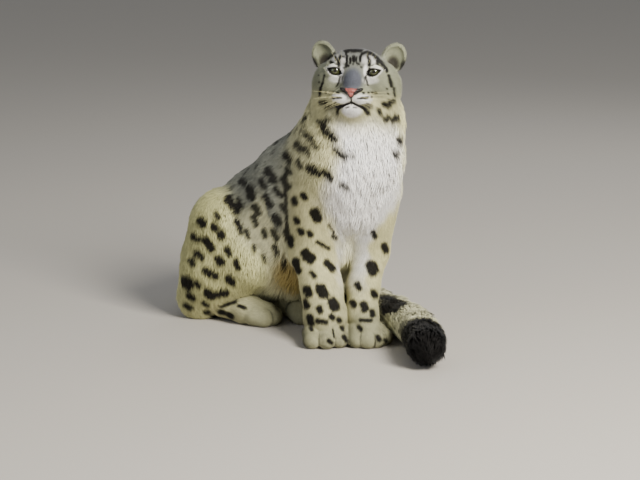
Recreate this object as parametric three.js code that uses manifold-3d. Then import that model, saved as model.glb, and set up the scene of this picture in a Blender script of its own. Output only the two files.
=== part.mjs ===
// Snow leopard, life size, sitting with its head raised and its tail laid round to the front.
// Millimetres, +Z up. The face and the forepaws look along -Y. The animal's right side is at -X.
// The body is drawn round a point on the floor between the forepaws, and the finished group is
// moved so that the middle of its footprint is the origin.
import * as THREE from "three";
import { mergeVertices } from "three/addons/utils/BufferGeometryUtils.js";
import Module from "manifold-3d";

const wasm = await Module();
wasm.setup();

// Driving dimensions
const GAP = 0.3; // the space that touching pieces keep
const SPLIT = GAP / 2; // each side's share of it at a straight cut
const SEED = 16; // of the locks' small differences

const SIT = {
  eyeHeight: 638, // eyes above the floor
  eyeForward: 30, // eyes in front of the forepaws' middle
  eyeSide: 6, // eyes' middle towards the animal's left
  neckEnd: new THREE.Vector3(2, 66, 462),
  neckBase: new THREE.Vector3(0, 66, 450),
  withers: new THREE.Vector3(-16, 84, 420),
  ribs: new THREE.Vector3(-98, 172, 328),
  loins: new THREE.Vector3(-186, 262, 236),
  pelvis: new THREE.Vector3(-246, 318, 150),
};

const HEAD = {
  yaw: 7, // degrees towards the animal's right
  pitch: 10, // degrees, nose up
  roll: 1,
  eyeSpacing: 87, // between the middles of the pupils
  eyeball: 18.5, // radius
  eyeSink: 7, // middle of the ball behind the face plane
  eyeOpenWidth: 31,
  eyeOpenHeight: 17,
  lid: 4, // thickness over the ball
  noseWidth: 50,
  noseHeight: 17,
  noseTip: 56, // in front of the eyes
  noseTop: 40, // below the eyes
  mouthDrop: 72, // line of the mouth below the eyes
  mouthWidth: 76,
  chinDrop: 103,
  earWidth: 60,
  earHeight: 74,
  earSpacing: 158,
};

const FORELEG = {
  right: {
    shoulder: [-72, 54, 350],
    elbow: [-83, 74, 196],
    forearm: [-67, 34, 122],
    wrist: [-58, 2, 60],
    toes: [-46, -30, 30],
    paw: 65, // half the width across the toes
    radii: [64, 55, 48, 50],
  },
  left: {
    shoulder: [60, 58, 346],
    elbow: [50, 88, 202],
    forearm: [30, 56, 122],
    wrist: [26, 24, 62],
    toes: [44, -28, 30],
    paw: 51,
    radii: [60, 42, 38, 38],
  },
};

const HINDLEG = {
  right: {
    hip: [-290, 228, 230],
    haunch: [-318, 240, 130],
    knee: [-240, 186, 160],
    hock: [-358, 260, 50],
    ball: [-250, 188, 36],
    toes: [-200, 178, 28],
  },
  left: {
    hip: [-196, 376, 204],
    haunch: [-214, 392, 124],
    knee: [-112, 300, 152],
    hock: [-262, 396, 50],
    ball: [-138, 250, 36],
    toes: [-98, 192, 28],
  },
};

const TAIL = {
  path: [
    [-286, 372, 98],
    [-318, 424, 66],
    [-288, 476, 52],
    [-216, 494, 47],
    [-122, 448, 46],
    [-34, 360, 46],
    [26, 262, 46],
    [66, 172, 46],
    [104, 86, 47],
    [136, 10, 48],
    [154, -70, 50],
    [162, -150, 51],
    [164, -214, 52],
  ],
  baseRadius: 58,
  midRadius: 44,
  tipRadius: 50,
};

// Field of flesh and coat
// A mass is a cone with two round ends, or an egg. Each gives the distance to its surface,
// negative inside, and masses that meet run together over their group's blend length.
const vector = (p) => (p.isVector3 ? p.clone() : new THREE.Vector3(...p));

function cone(a, b, ra, rb, squash = 1, squashAlong = null) {
  const start = vector(a);
  const span = vector(b).sub(start);
  const length2 = Math.max(span.lengthSq(), 1e-6);
  const along = squashAlong ? vector(squashAlong).normalize() : null;
  const q = new THREE.Vector3();
  return (p) => {
    q.subVectors(p, start);
    const t = THREE.MathUtils.clamp(q.dot(span) / length2, 0, 1);
    q.addScaledVector(span, -t);
    if (along) q.addScaledVector(along, q.dot(along) * (1 / squash - 1));
    return q.length() - THREE.MathUtils.lerp(ra, rb, t);
  };
}

function egg(centre, radii, turn = [0, 0, 0]) {
  const middle = vector(centre);
  const angles = turn.map(THREE.MathUtils.degToRad);
  const back = new THREE.Matrix4().makeRotationFromEuler(new THREE.Euler(...angles)).invert();
  const [rx, ry, rz] = radii;
  const q = new THREE.Vector3();
  return (p) => {
    q.subVectors(p, middle).applyMatrix4(back);
    const x = q.x / rx;
    const y = q.y / ry;
    const z = q.z / rz;
    const inside = Math.hypot(x, y, z);
    const slope = Math.hypot(x / rx, y / ry, z / rz);
    return slope < 1e-9 ? -Math.min(rx, ry, rz) : (inside * (inside - 1)) / slope;
  };
}

function blendMasses(masses, blend) {
  return (p) => {
    let total = masses[0](p);
    for (let i = 1; i < masses.length; i += 1) {
      const next = masses[i](p);
      const near = Math.max(blend - Math.abs(total - next), 0) / blend;
      total = Math.min(total, next) - (near * near * blend) / 4;
    }
    return total;
  };
}

// Reach of a field from a point inside it, along a direction
const STEP = 5;
const HALVINGS = 16;

function reach(field, from, direction, grow) {
  const p = new THREE.Vector3();
  const outside = (t) => field(p.copy(from).addScaledVector(direction, t)) > grow;
  let far = STEP;
  while (!outside(far) && far < 600) far += STEP;
  let near = far - STEP;
  for (let i = 0; i < HALVINGS; i += 1) {
    const middle = (near + far) / 2;
    if (outside(middle)) far = middle;
    else near = middle;
  }
  return near;
}

// Rings of points joined into one closed body. A ring of one point is a pole. The diagonals
// alternate in the same way at any size, so a grown body's faces all lie outside the plain one's.
function skinRings(rings) {
  const positions = [];
  const starts = rings.map((ring) => {
    const start = positions.length / 3;
    ring.forEach((p) => positions.push(p.x, p.y, p.z));
    return start;
  });
  const index = [];
  for (let i = 0; i + 1 < rings.length; i += 1) {
    const [a, b] = [rings[i], rings[i + 1]];
    const sides = Math.max(a.length, b.length);
    for (let j = 0; j < sides; j += 1) {
      const next = (j + 1) % sides;
      const [here, there] = [starts[i], starts[i + 1]];
      if (a.length === 1) index.push(here, there + j, there + next);
      else if (b.length === 1) index.push(here + next, here + j, there);
      else if ((i + j) % 2 === 0) {
        index.push(here + next, here + j, there + next);
        index.push(there + next, here + j, there + j);
      } else {
        index.push(here + next, here + j, there + j);
        index.push(there + next, here + next, there + j);
      }
    }
  }
  const geometry = new THREE.BufferGeometry();
  geometry.setAttribute("position", new THREE.Float32BufferAttribute(positions, 3));
  geometry.setIndex(index);
  return geometry;
}

// Solids for joining and cutting
function solid(geometry) {
  const bare = new THREE.BufferGeometry();
  bare.setAttribute("position", geometry.getAttribute("position").clone());
  if (geometry.index) bare.setIndex(geometry.index.clone());
  const merged = mergeVertices(bare, 1e-4);
  const mesh = new wasm.Mesh({
    numProp: 3,
    vertProperties: new Float32Array(merged.attributes.position.array),
    triVerts: new Uint32Array(merged.index.array),
  });
  return new wasm.Manifold(mesh);
}

function largest(body) {
  const pieces = body.decompose();
  return pieces.reduce((best, piece) => (piece.volume() > best.volume() ? piece : best));
}

const SLIVER = 0.03; // points nearer than this are drawn together

function toGeometry(body) {
  const mesh = body.simplify(SLIVER).getMesh();
  const geometry = new THREE.BufferGeometry();
  geometry.setAttribute("position", new THREE.BufferAttribute(new Float32Array(mesh.vertProperties), 3));
  geometry.setIndex(new THREE.BufferAttribute(new Uint32Array(mesh.triVerts), 1));
  geometry.computeVertexNormals();
  return geometry;
}

// A length of body along an axis, from one share of the axis to another
const POLE_LEANS = [27, 50, 71]; // degrees, of the rings that round off a free end

function axisFrame(axis, t, up) {
  const at = axis.getPointAt(t);
  const along = axis.getTangentAt(t).normalize();
  const side = new THREE.Vector3().crossVectors(along, up).normalize();
  const top = new THREE.Vector3().crossVectors(side, along).normalize();
  return { at, along, side, top };
}

function ringOf(field, frame, lean, sides, grow) {
  const ring = [];
  const direction = new THREE.Vector3();
  for (let j = 0; j < sides; j += 1) {
    const turn = (2 * Math.PI * j) / sides;
    direction.set(0, 0, 0);
    direction.addScaledVector(frame.side, Math.cos(turn) * Math.cos(lean));
    direction.addScaledVector(frame.top, Math.sin(turn) * Math.cos(lean));
    direction.addScaledVector(frame.along, Math.sin(lean));
    const distance = reach(field, frame.at, direction, grow);
    ring.push(frame.at.clone().addScaledVector(direction, distance));
  }
  return ring;
}

function poleOf(field, frame, sign, grow) {
  const direction = frame.along.clone().multiplyScalar(sign);
  const distance = reach(field, frame.at, direction, grow);
  return [frame.at.clone().addScaledVector(direction, distance)];
}

function length({ field, axis, up, from, to, rings, sides, startRound, endRound }) {
  return (grow = 0) => {
    const list = [];
    const lean = THREE.MathUtils.degToRad;
      const first = axisFrame(axis, from, up);
    const last = axisFrame(axis, to, up);
    if (startRound) {
      list.push(poleOf(field, first, -1, grow));
      [...POLE_LEANS].reverse().forEach((angle) => {
        list.push(ringOf(field, first, -lean(angle), sides, grow));
      });
    } else {
      first.at.addScaledVector(first.along, from > 0 ? SPLIT - grow : -grow);
      list.push([first.at.clone()]);
    }
    for (let i = 0; i <= rings; i += 1) {
      let frame = axisFrame(axis, THREE.MathUtils.lerp(from, to, i / rings), up);
      if (i === 0) frame = first;
      if (i === rings) {
        frame = last;
        if (!endRound) frame.at.addScaledVector(frame.along, grow - SPLIT);
      }
      list.push(ringOf(field, frame, 0, sides, grow));
    }
    if (endRound) {
      POLE_LEANS.forEach((angle) => list.push(ringOf(field, last, lean(angle), sides, grow)));
      list.push(poleOf(field, last, 1, grow));
    } else {
      list.push([last.at.clone()]);
    }
    return solid(skinRings(list));
  };
}

// Locks of coat
// A lock is rooted in the core, bends along the lie of the coat and thins to a point. Its line
// keeps a depth under or over the coat's outer surface, and has a ridge and two edges.
const LOCK_STATIONS = [0, 0.52];
const LOCK_CLEARANCE = [9, 1.3, 2.4, 10]; // of a grown lock: sideways, under, over and ahead, times the gap

let randomState = SEED;
function random() {
  randomState = (randomState * 1664525 + 1013904223) % 4294967296;
  return randomState / 4294967296;
}
const vary = (value, share) => value * (1 + share * (2 * random() - 1));

function slopeOf(field, p) {
  const step = 1;
  const q = new THREE.Vector3();
  const at = (x, y, z) => field(q.set(p.x + x, p.y + y, p.z + z));
  return new THREE.Vector3(
    at(step, 0, 0) - at(-step, 0, 0),
    at(0, step, 0) - at(0, -step, 0),
    at(0, 0, step) - at(0, 0, -step),
  ).normalize();
}

function lockOf(field, root, flow, { long, wide, thick, sink, rise, hang = 0 }) {
  const p = root.clone();
  const bend = 0.5 * (2 * random() - 1);
  const reachOut = vary(rise + 8, 0.4) - 8;
  const line = [];
  [...LOCK_STATIONS, 1].forEach((t, i, all) => {
    const out = slopeOf(field, p);
    const lie = flow(p).clone();
    lie.addScaledVector(out, -lie.dot(out)).normalize();
    const across = new THREE.Vector3().crossVectors(lie, out).normalize();
    lie.addScaledVector(across, bend * t).normalize();
    p.addScaledVector(lie, long * (i === 0 ? 0 : t - all[i - 1]));
    const level = -sink + (sink + reachOut) * Math.sin((Math.PI / 2) * Math.min(t * 1.25, 1));
    p.addScaledVector(slopeOf(field, p), level - field(p));
    p.z -= i === all.length - 1 ? hang : 0;
    line.push({ at: p.clone(), out, lie, across });
  });
  const ahead = line[line.length - 1].at.clone().sub(line[line.length - 2].at).normalize();
  return (grow = 0) => {
    const [side, under, over, tip] = LOCK_CLEARANCE.map((times) => times * grow);
    const rings = [[line[0].at.clone().addScaledVector(line[0].lie, -1 - tip / 2)]];
    LOCK_STATIONS.forEach((t, i) => {
      const { at, out, across } = line[i];
      const half = (wide / 2) * (1 - 0.66 * t ** 1.8) + side;
      const deep = (thick / 2) * (1 - 0.6 * t);
      rings.push([
        at.clone().addScaledVector(across, half).addScaledVector(out, -deep - under),
        at.clone().addScaledVector(out, deep + over),
        at.clone().addScaledVector(across, -half).addScaledVector(out, -deep - under),
      ]);
    });
    rings.push([line[line.length - 1].at.clone().addScaledVector(ahead, tip)]);
    return solid(skinRings(rings));
  };
}

// Rows of locks round a length of body: each row's place on the axis, and the turns about it, in
// degrees, between which its locks are spread. Neighbouring rows are staggered.
function lockRows({ field, axis, up, rows, flow, size }) {
  const locks = [];
  rows.forEach(({ at, from, to, count }, row) => {
    const frame = axisFrame(axis, at, up);
    for (let i = 0; i < count; i += 1) {
      const place = (i + 0.3 + 0.4 * (row % 2) + 0.12 * (2 * random() - 1)) / count;
      const turn = THREE.MathUtils.degToRad(from + (to - from) * place);
      const direction = frame.side.clone().multiplyScalar(Math.cos(turn));
      direction.addScaledVector(frame.top, Math.sin(turn));
      const root = frame.at.clone().addScaledVector(direction, reach(field, frame.at, direction, 0));
      const own = { ...size, long: vary(size.long, 0.16), wide: vary(size.wide, 0.14) };
      locks.push(lockOf(field, root, flow, own));
    }
  });
  return locks;
}

// A core that lies under its locks, by a depth given at each point
const inward = (field, depth) => (p) => field(p) + depth(p);
const between = (value, low, high) => THREE.MathUtils.smoothstep(value, low, high);
const fuse = (...bodies) => wasm.Manifold.union(bodies);

const spine = (points) => new THREE.CatmullRomCurve3(points.map(vector), false, "centripetal");
const UP = new THREE.Vector3(0, 0, 1);
const FRONT = new THREE.Vector3(0, -1, 0);
const UP_Y = new THREE.Vector3(0, 1, 0); // the way a three.js cylinder stands

// Head, in its own frame: the middle between the eyes is the origin, -Y is forward
const headPlace = new THREE.Matrix4().compose(
  new THREE.Vector3(SIT.eyeSide, -SIT.eyeForward, SIT.eyeHeight),
  new THREE.Quaternion().setFromEuler(
    new THREE.Euler(
      THREE.MathUtils.degToRad(-HEAD.pitch),
      THREE.MathUtils.degToRad(HEAD.roll),
      THREE.MathUtils.degToRad(-HEAD.yaw),
      "ZXY",
    ),
  ),
  new THREE.Vector3(1, 1, 1),
);

const bothSides = (make) => [make(-1), make(1)];

const headMasses = [
  egg([0, 70, -4], [70, 84, 60]),
  cone([0, 22, 14], [0, -28, -42], 30, 22),
  ...bothSides((s) => egg([s * 24, 16, 20], [28, 26, 24])),
  ...bothSides((s) => egg([s * 50, 34, -22], [37, 42, 40])),
  ...bothSides((s) => egg([s * 21, -22, -62], [28, 28, 21], [0, 0, s * 14])),
  egg([0, -14, -84], [28, 26, 19]),
  cone([0, 20, -70], [0, 60, -60], 46, 60),
];
const ruffMasses = [
  ...bothSides((s) => egg([s * 62, 62, -34], [42, 46, 56], [0, s * -4, 0])),
  ...bothSides((s) => egg([s * 46, 58, -74], [44, 44, 44])),
];
const coatedHead = blendMasses([...headMasses, ...ruffMasses], 22);
const RUFF_DEPTH = 13; // half the depth of the coat on the cheeks
const ruffDepth = (p) => RUFF_DEPTH * between(Math.abs(p.x) + p.y - p.z, 96, 132) * between(p.y, 22, 52);
const headField = inward(coatedHead, ruffDepth);
const HEAD_SIDES = 28;
const HEAD_RINGS = 17;
const FACE_CROWDING = 1.3; // rings lie closer towards the nose
const HEAD_MIDDLE = new THREE.Vector3(0, 42, -24);

function headCore(grow = 0) {
  const frame = { at: HEAD_MIDDLE, along: FRONT, side: new THREE.Vector3(1, 0, 0), top: UP };
  frame.side = new THREE.Vector3().crossVectors(FRONT, UP).normalize();
  const rings = [poleOf(headField, frame, 1, grow)];
  for (let i = 1; i < HEAD_RINGS; i += 1) {
    const polar = Math.PI * (i / HEAD_RINGS) ** FACE_CROWDING;
    rings.push(ringOf(headField, frame, Math.PI / 2 - polar, HEAD_SIDES, grow));
  }
  rings.push(poleOf(headField, frame, -1, grow));
  return solid(skinRings(rings.reverse()));
}

// A point on the face, straight in front of a place given by its side and its height
function facePoint(x, z, lift = 0) {
  const from = new THREE.Vector3(x, HEAD_MIDDLE.y, z);
  const distance = reach(headField, from, FRONT, 0);
  return from.addScaledVector(FRONT, distance + lift);
}

const eyeCentre = (s) => new THREE.Vector3((s * HEAD.eyeSpacing) / 2, HEAD.eyeSink, 0);

function ball(radius, centre, detail = 12) {
  const geometry = new THREE.SphereGeometry(radius, detail, Math.round(detail * 0.7));
  geometry.rotateX(Math.PI / 2);
  geometry.translate(centre.x, centre.y, centre.z);
  return solid(geometry);
}

const EYE_TILT = 19; // degrees, outer corner up

function almond(s) {
  const half = HEAD.eyeOpenWidth / 2;
  const tall = HEAD.eyeOpenHeight / 2;
  const shape = new THREE.Shape();
  shape.moveTo(-half, 0);
  shape.bezierCurveTo(-half * 0.5, tall * 1.4, half * 0.5, tall * 1.4, half, 0);
  shape.bezierCurveTo(half * 0.5, -tall * 1.3, -half * 0.5, -tall * 1.3, -half, 0);
  const geometry = new THREE.ExtrudeGeometry(shape, { depth: 40, bevelEnabled: false, curveSegments: 7 });
  geometry.rotateX(Math.PI / 2);
  geometry.rotateY(THREE.MathUtils.degToRad(-s * EYE_TILT));
  const centre = eyeCentre(s);
  const cornerDepth = Math.sqrt(HEAD.eyeball ** 2 - half ** 2);
  geometry.translate(centre.x, centre.y - cornerDepth, centre.z);
  return solid(geometry);
}

function addLids(head) {
  let result = head;
  bothSides((s) => {
    const centre = eyeCentre(s);
    const lids = ball(HEAD.eyeball + HEAD.lid, centre).subtract(almond(s));
    result = result.add(lids).subtract(ball(HEAD.eyeball + GAP, centre)).subtract(almond(s));
  });
  return result;
}

// Nose leather, a rounded T with a nostril on each side
function noseShape() {
  const w = HEAD.noseWidth / 2;
  const h = HEAD.noseHeight;
  const shape = new THREE.Shape();
  shape.moveTo(-w * 0.82, 0);
  shape.quadraticCurveTo(0, h * 0.2, w * 0.82, 0);
  shape.quadraticCurveTo(w * 1.06, -h * 0.28, w * 0.84, -h * 0.56);
  shape.quadraticCurveTo(w * 0.5, -h * 0.7, w * 0.2, -h);
  shape.quadraticCurveTo(0, -h * 1.1, -w * 0.2, -h);
  shape.quadraticCurveTo(-w * 0.5, -h * 0.7, -w * 0.84, -h * 0.56);
  shape.quadraticCurveTo(-w * 1.06, -h * 0.28, -w * 0.82, 0);
  return shape;
}

const NOSE_DEPTH = 22;

function noseSolid(grow = 0) {
  const bevel = 3;
  const geometry = new THREE.ExtrudeGeometry(noseShape(), {
    depth: NOSE_DEPTH - 2 * bevel,
    bevelThickness: bevel + grow,
    bevelSize: grow,
    bevelOffset: -0.5,
    bevelSegments: 2,
    curveSegments: 3,
  });
  geometry.translate(0, 0, bevel);
  geometry.rotateX(Math.PI / 2);
  geometry.rotateX(THREE.MathUtils.degToRad(-14));
  geometry.translate(0, -HEAD.noseTip + NOSE_DEPTH, -HEAD.noseTop);
  return solid(geometry);
}

function nostril(s) {
  const w = HEAD.noseWidth / 2;
  const path = new THREE.CatmullRomCurve3([
    new THREE.Vector3(s * w * 0.34, -HEAD.noseTip - 4, -HEAD.noseTop - 12),
    new THREE.Vector3(s * w * 0.62, -HEAD.noseTip, -HEAD.noseTop - 9),
    new THREE.Vector3(s * w * 0.95, -HEAD.noseTip + 8, -HEAD.noseTop - 8),
  ]);
  return solid(sweep(path, 3.4, 4, 6));
}

// A round rod along a curve, with flat ends
function sweep(path, radius, steps, sides) {
  const round = new THREE.Shape();
  for (let j = 0; j < sides; j += 1) {
    const turn = (2 * Math.PI * j) / sides;
    const [x, y] = [radius * Math.cos(turn), radius * Math.sin(turn)];
    if (j === 0) round.moveTo(x, y);
    else round.lineTo(x, y);
  }
  return new THREE.ExtrudeGeometry(round, { steps, extrudePath: path, bevelEnabled: false });
}

// Mouth: a raised lip on each side of a closed line, which runs up to the nose in the middle
const LIP_RADIUS = 4.6;
const MOUTH_LINE = 1.7; // radius of the groove

function mouthRods(radius, lift, cleftRadius, reachOut) {
  const half = (HEAD.mouthWidth / 2) * reachOut;
  const at = (x, drop) => facePoint(x, -HEAD.mouthDrop - drop, lift);
  const sides = bothSides((s) => {
    const points = [at(0, 0), at(s * half * 0.25, 4), at(s * half * 0.6, 9), at(s * half, 9)];
    return solid(sweep(new THREE.CatmullRomCurve3(points), radius, 5, 5));
  });
  const cleft = new THREE.CatmullRomCurve3([
    facePoint(0, -HEAD.noseTop - HEAD.noseHeight - 3, 0.5),
    facePoint(0, -HEAD.mouthDrop + 8, 0.5),
    at(0, 1),
  ]);
  return fuse(...sides, solid(sweep(cleft, cleftRadius, 3, 6)));
}

const LINE_REACH = 0.84; // of the groove, so that it ends inside the lips
const addMouth = (head) =>
  head
    .add(mouthRods(LIP_RADIUS, -1.6, 1, 1))
    .subtract(mouthRods(MOUTH_LINE, 2.6, 1.8, LINE_REACH));

// Ruff of the cheeks: locks that lie back, down and outwards from below the ear to the throat
const ruffLocks = bothSides((s) => {
  const flow = (p) => new THREE.Vector3(s * (0.35 - 0.004 * Math.max(-p.z - 40, 0)), 0.5, -0.8);
  const rows = [
    { polar: 82, from: 8, to: -78, count: 3 },
    { polar: 108, from: 22, to: -84, count: 4 },
  ];
  return rows.flatMap(({ polar, from, to, count }) =>
    [...Array(count).keys()].map((i) => {
      const turn = THREE.MathUtils.degToRad(from + ((to - from) * (i + 0.2 + 0.4 * random())) / count);
      const lean = THREE.MathUtils.degToRad(polar);
      const direction = new THREE.Vector3(s * Math.cos(turn), 0, Math.sin(turn));
      direction.multiplyScalar(Math.sin(lean)).addScaledVector(FRONT, Math.cos(lean));
      const distance = reach(coatedHead, HEAD_MIDDLE, direction, 0);
      const root = HEAD_MIDDLE.clone().addScaledVector(direction, distance);
      return lockOf(coatedHead, root, flow, {
        long: vary(62, 0.16),
        wide: vary(56, 0.14),
        thick: 12,
        sink: RUFF_DEPTH + 5,
        rise: 0,
      });
    }),
  );
}).flat();

// Ears: a rounded cup on the corner of the skull, open forwards and a little outwards
const EAR_TILT = 24; // degrees, leaning out
const EAR_TURN = 16; // degrees, opening turned outwards
const EAR_BACK = 84; // behind the eyes
const EAR_UP = 34; // middle above the eyes

function earEgg(s, radii, forward, detail) {
  const geometry = new THREE.SphereGeometry(1, detail, detail - 4);
  geometry.scale(...radii);
  geometry.translate(0, -forward, 0);
  geometry.rotateZ(THREE.MathUtils.degToRad(s * EAR_TURN));
  geometry.rotateY(THREE.MathUtils.degToRad(s * EAR_TILT));
  geometry.translate((s * HEAD.earSpacing) / 2, EAR_BACK, EAR_UP);
  return solid(geometry);
}

function earSolid(s, grow = 0) {
  const half = HEAD.earWidth / 2;
  const tall = HEAD.earHeight / 2;
  const outer = earEgg(s, [half + grow, 15 + grow, tall + grow], 0, 12);
  const cup = earEgg(s, [half - 8, 16, tall - 9], 13, 10);
  return grow ? outer : outer.subtract(cup);
}

// Neck and trunk, one coated body that is parted at the base of the neck
const NECK_SQUASH = 0.84; // depth over width
const bodyMasses = [
  cone([6, 70, 568], [6, 62, 520], 88, 104, NECK_SQUASH, [0, 1, 0.2]),
  cone([6, 62, 520], SIT.neckBase, 104, 104, NECK_SQUASH, [0, 1, 0.2]),
  cone([4, 30, 530], [2, 34, 440], 74, 84),
  cone([-4, 96, 520], [-10, 104, 450], 70, 90),
  cone(SIT.neckBase, SIT.withers, 100, 112),
  cone([2, 46, 400], [0, 60, 336], 96, 86),
  cone(SIT.withers, SIT.ribs, 112, 126),
  cone(SIT.ribs, SIT.loins, 126, 128),
  cone(SIT.loins, SIT.pelvis, 128, 124),
  cone([-60, 130, 240], [-160, 240, 150], 84, 94),
  cone([0, 130, 214], [-90, 230, 140], 62, 84),
  cone(SIT.pelvis, [-276, 350, 108], 120, 92),
];
const coatedBody = blendMasses(bodyMasses, 55);
const NECK_DEPTH = 17; // half the depth of the coat round the neck and on the chest
const BELLY_DEPTH = 20;
// The long coat: all round the neck, down the chest, and along the flanks and the belly
function coatDepth(p) {
  const neckShare = between(p.z, 430, 480);
  const chestShare = between(-p.y, -60, -20) * between(p.z, 290, 350);
  const low = 330 - 0.62 * (p.y - 60) - p.z; // under a line that falls along the flank
  const bellyShare = between(low, 20, 90) * between(p.y, 90, 130) * (1 - between(p.y, 300, 350));
  return Math.max(NECK_DEPTH * Math.max(neckShare, chestShare), BELLY_DEPTH * bellyShare);
}
const bodyField = inward(coatedBody, coatDepth);
const neckAxis = spine([[6, 80, 590], [6, 72, 530], SIT.neckEnd]);
const trunkAxis = spine([SIT.neckBase, SIT.withers, SIT.ribs, SIT.loins, SIT.pelvis, [-266, 340, 118]]);

const trunkCore = length({
  field: bodyField,
  axis: trunkAxis,
  up: UP,
  from: 0,
  to: 1,
  rings: 10,
  sides: 18,
  startRound: true,
  endRound: true,
});
const neckCore = length({
  field: bodyField,
  axis: neckAxis,
  up: FRONT,
  from: 0,
  to: 1,
  rings: 4,
  sides: 18,
  startRound: true,
});

// Coat of the neck and chest falls and fans out, that of the flanks and belly falls backwards
const bibFlow = (p) => new THREE.Vector3(0.004 * (p.x - 6), 0.002 * (p.y - 60), -1);
const bellyFlow = (p) => new THREE.Vector3(-0.3, 0.34, -0.8 - 0.001 * p.z);
const coated = { field: coatedBody, up: FRONT };
const neckLocks = lockRows({
  ...coated,
  axis: neckAxis,
  rows: [
    { at: 0.42, from: 0, to: 360, count: 7 },
    { at: 0.94, from: -20, to: 200, count: 5 },
  ],
  flow: bibFlow,
  size: { long: 118, wide: 78, thick: 16, sink: NECK_DEPTH + 6, rise: 0 },
});
const chestAxis = spine([[0, 90, 470], [0, 90, 300]]);
const chestLocks = lockRows({
  ...coated,
  axis: chestAxis,
  rows: [
    { at: 0.5, from: 28, to: 152, count: 4 },
    { at: 0.84, from: 44, to: 136, count: 3 },
  ],
  flow: bibFlow,
  size: { long: 108, wide: 62, thick: 16, sink: NECK_DEPTH + 6, rise: 0 },
});
const bellyAxis = spine([[-30, 110, 260], [-120, 200, 190], [-170, 260, 150]]);
const bellyLocks = lockRows({
  field: coatedBody,
  up: UP,
  axis: bellyAxis,
  rows: [
    { at: 0.08, from: 170, to: 400, count: 4 },
    { at: 0.4, from: 165, to: 395, count: 5 },
    { at: 0.74, from: 165, to: 395, count: 4 },
  ],
  flow: bellyFlow,
  size: { long: 118, wide: 74, thick: 16, sink: BELLY_DEPTH + 6, rise: 1, hang: 10 },
});

// A thin cut across an axis, that parts two nodes
function partingDisc(axis, t, radius) {
  const frame = axisFrame(axis, t, FRONT);
  const geometry = new THREE.CylinderGeometry(radius, radius, GAP, 32);
  geometry.applyQuaternion(new THREE.Quaternion().setFromUnitVectors(UP_Y, frame.along));
  geometry.translate(frame.at.x, frame.at.y, frame.at.z);
  return solid(geometry);
}

const forelegMasses = (leg) => {
  const [upper, elbow, forearm, wrist] = leg.radii;
  return [
    cone(leg.shoulder, leg.elbow, upper, elbow),
    cone(leg.elbow, leg.forearm, elbow, forearm),
    cone(leg.forearm, leg.wrist, forearm, wrist),
    cone(leg.wrist, leg.toes, wrist, 30),
    ...pawToes(leg.wrist, leg.toes, leg.paw),
  ];
};

// Four toes side by side, in front of the middle of a paw, spread along the way it points
function pawToes(wrist, toes, half) {
  const middle = vector(toes);
  const ahead = middle.clone().sub(vector(wrist)).setZ(0).normalize();
  const across = new THREE.Vector3(-ahead.y, ahead.x, 0);
  const spread = half - 20;
  return [-1, -0.34, 0.34, 1].map((place) => {
    const tip = middle.clone().addScaledVector(across, place * spread);
    tip.addScaledVector(ahead, 16 * (1 - place * place)).setZ(20);
    const root = middle.clone().addScaledVector(across, place * spread * 0.7);
    root.addScaledVector(ahead, -26).setZ(27);
    return cone(root, tip, 29, 24);
  });
}

function foreleg(leg) {
  const field = blendMasses(forelegMasses(leg), 16);
  const axis = spine([leg.shoulder, leg.elbow, leg.forearm, leg.wrist, leg.toes]);
  const WRIST = 0.8;
  const shared = { field, axis, up: FRONT };
  return {
    upper: length({ ...shared, from: 0, to: WRIST, rings: 10, sides: 14, startRound: true }),
    paw: length({ ...shared, from: WRIST, to: 1, rings: 3, sides: 20, endRound: true }),
  };
}

function hindleg(leg) {
  const thighField = blendMasses(
    [
      cone(leg.hip, leg.haunch, 84, 82),
      cone(leg.hip, leg.knee, 84, 66),
      cone(leg.haunch, leg.hock, 82, 50),
      cone(leg.knee, leg.hock, 62, 48),
    ],
    50,
  );
  const footField = blendMasses(
    [
      cone(leg.hock, leg.ball, 40, 36),
      cone(leg.ball, leg.toes, 36, 28),
      ...pawToes(leg.ball, leg.toes, 45),
    ],
    16,
  );
  const hip = vector(leg.hip);
  const lower = vector(leg.knee).lerp(vector(leg.haunch), 0.5).setZ(92);
  const thighAxis = spine([hip, hip.clone().lerp(lower, 0.5), lower]);
  const footAxis = spine([leg.hock, leg.ball, leg.toes]);
  const FOOT_START = 0.62;
  const shared = { field: footField, axis: footAxis, up: UP };
  return {
    thigh: length({
      field: thighField,
      axis: thighAxis,
      up: FRONT,
      from: 0,
      to: 1,
      rings: 6,
      sides: 18,
      startRound: true,
      endRound: true,
    }),
    shank: length({ ...shared, from: 0, to: FOOT_START, rings: 4, sides: 12, startRound: true }),
    foot: length({ ...shared, from: FOOT_START, to: 1, rings: 3, sides: 18, endRound: true }),
  };
}

function tailField() {
  const points = TAIL.path.map(vector);
  const last = points.length - 2;
  const masses = [];
  for (let i = 0; i <= last; i += 1) {
    const radius = (k) => {
      const share = k / (last + 1);
      if (share < 0.25) return THREE.MathUtils.lerp(TAIL.baseRadius, TAIL.midRadius, share / 0.25);
      return THREE.MathUtils.lerp(TAIL.midRadius, TAIL.tipRadius, (share - 0.25) / 0.75);
    };
    masses.push(cone(points[i], points[i + 1], radius(i), radius(i + 1)));
  }
  return blendMasses(masses, 10);
}

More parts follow.
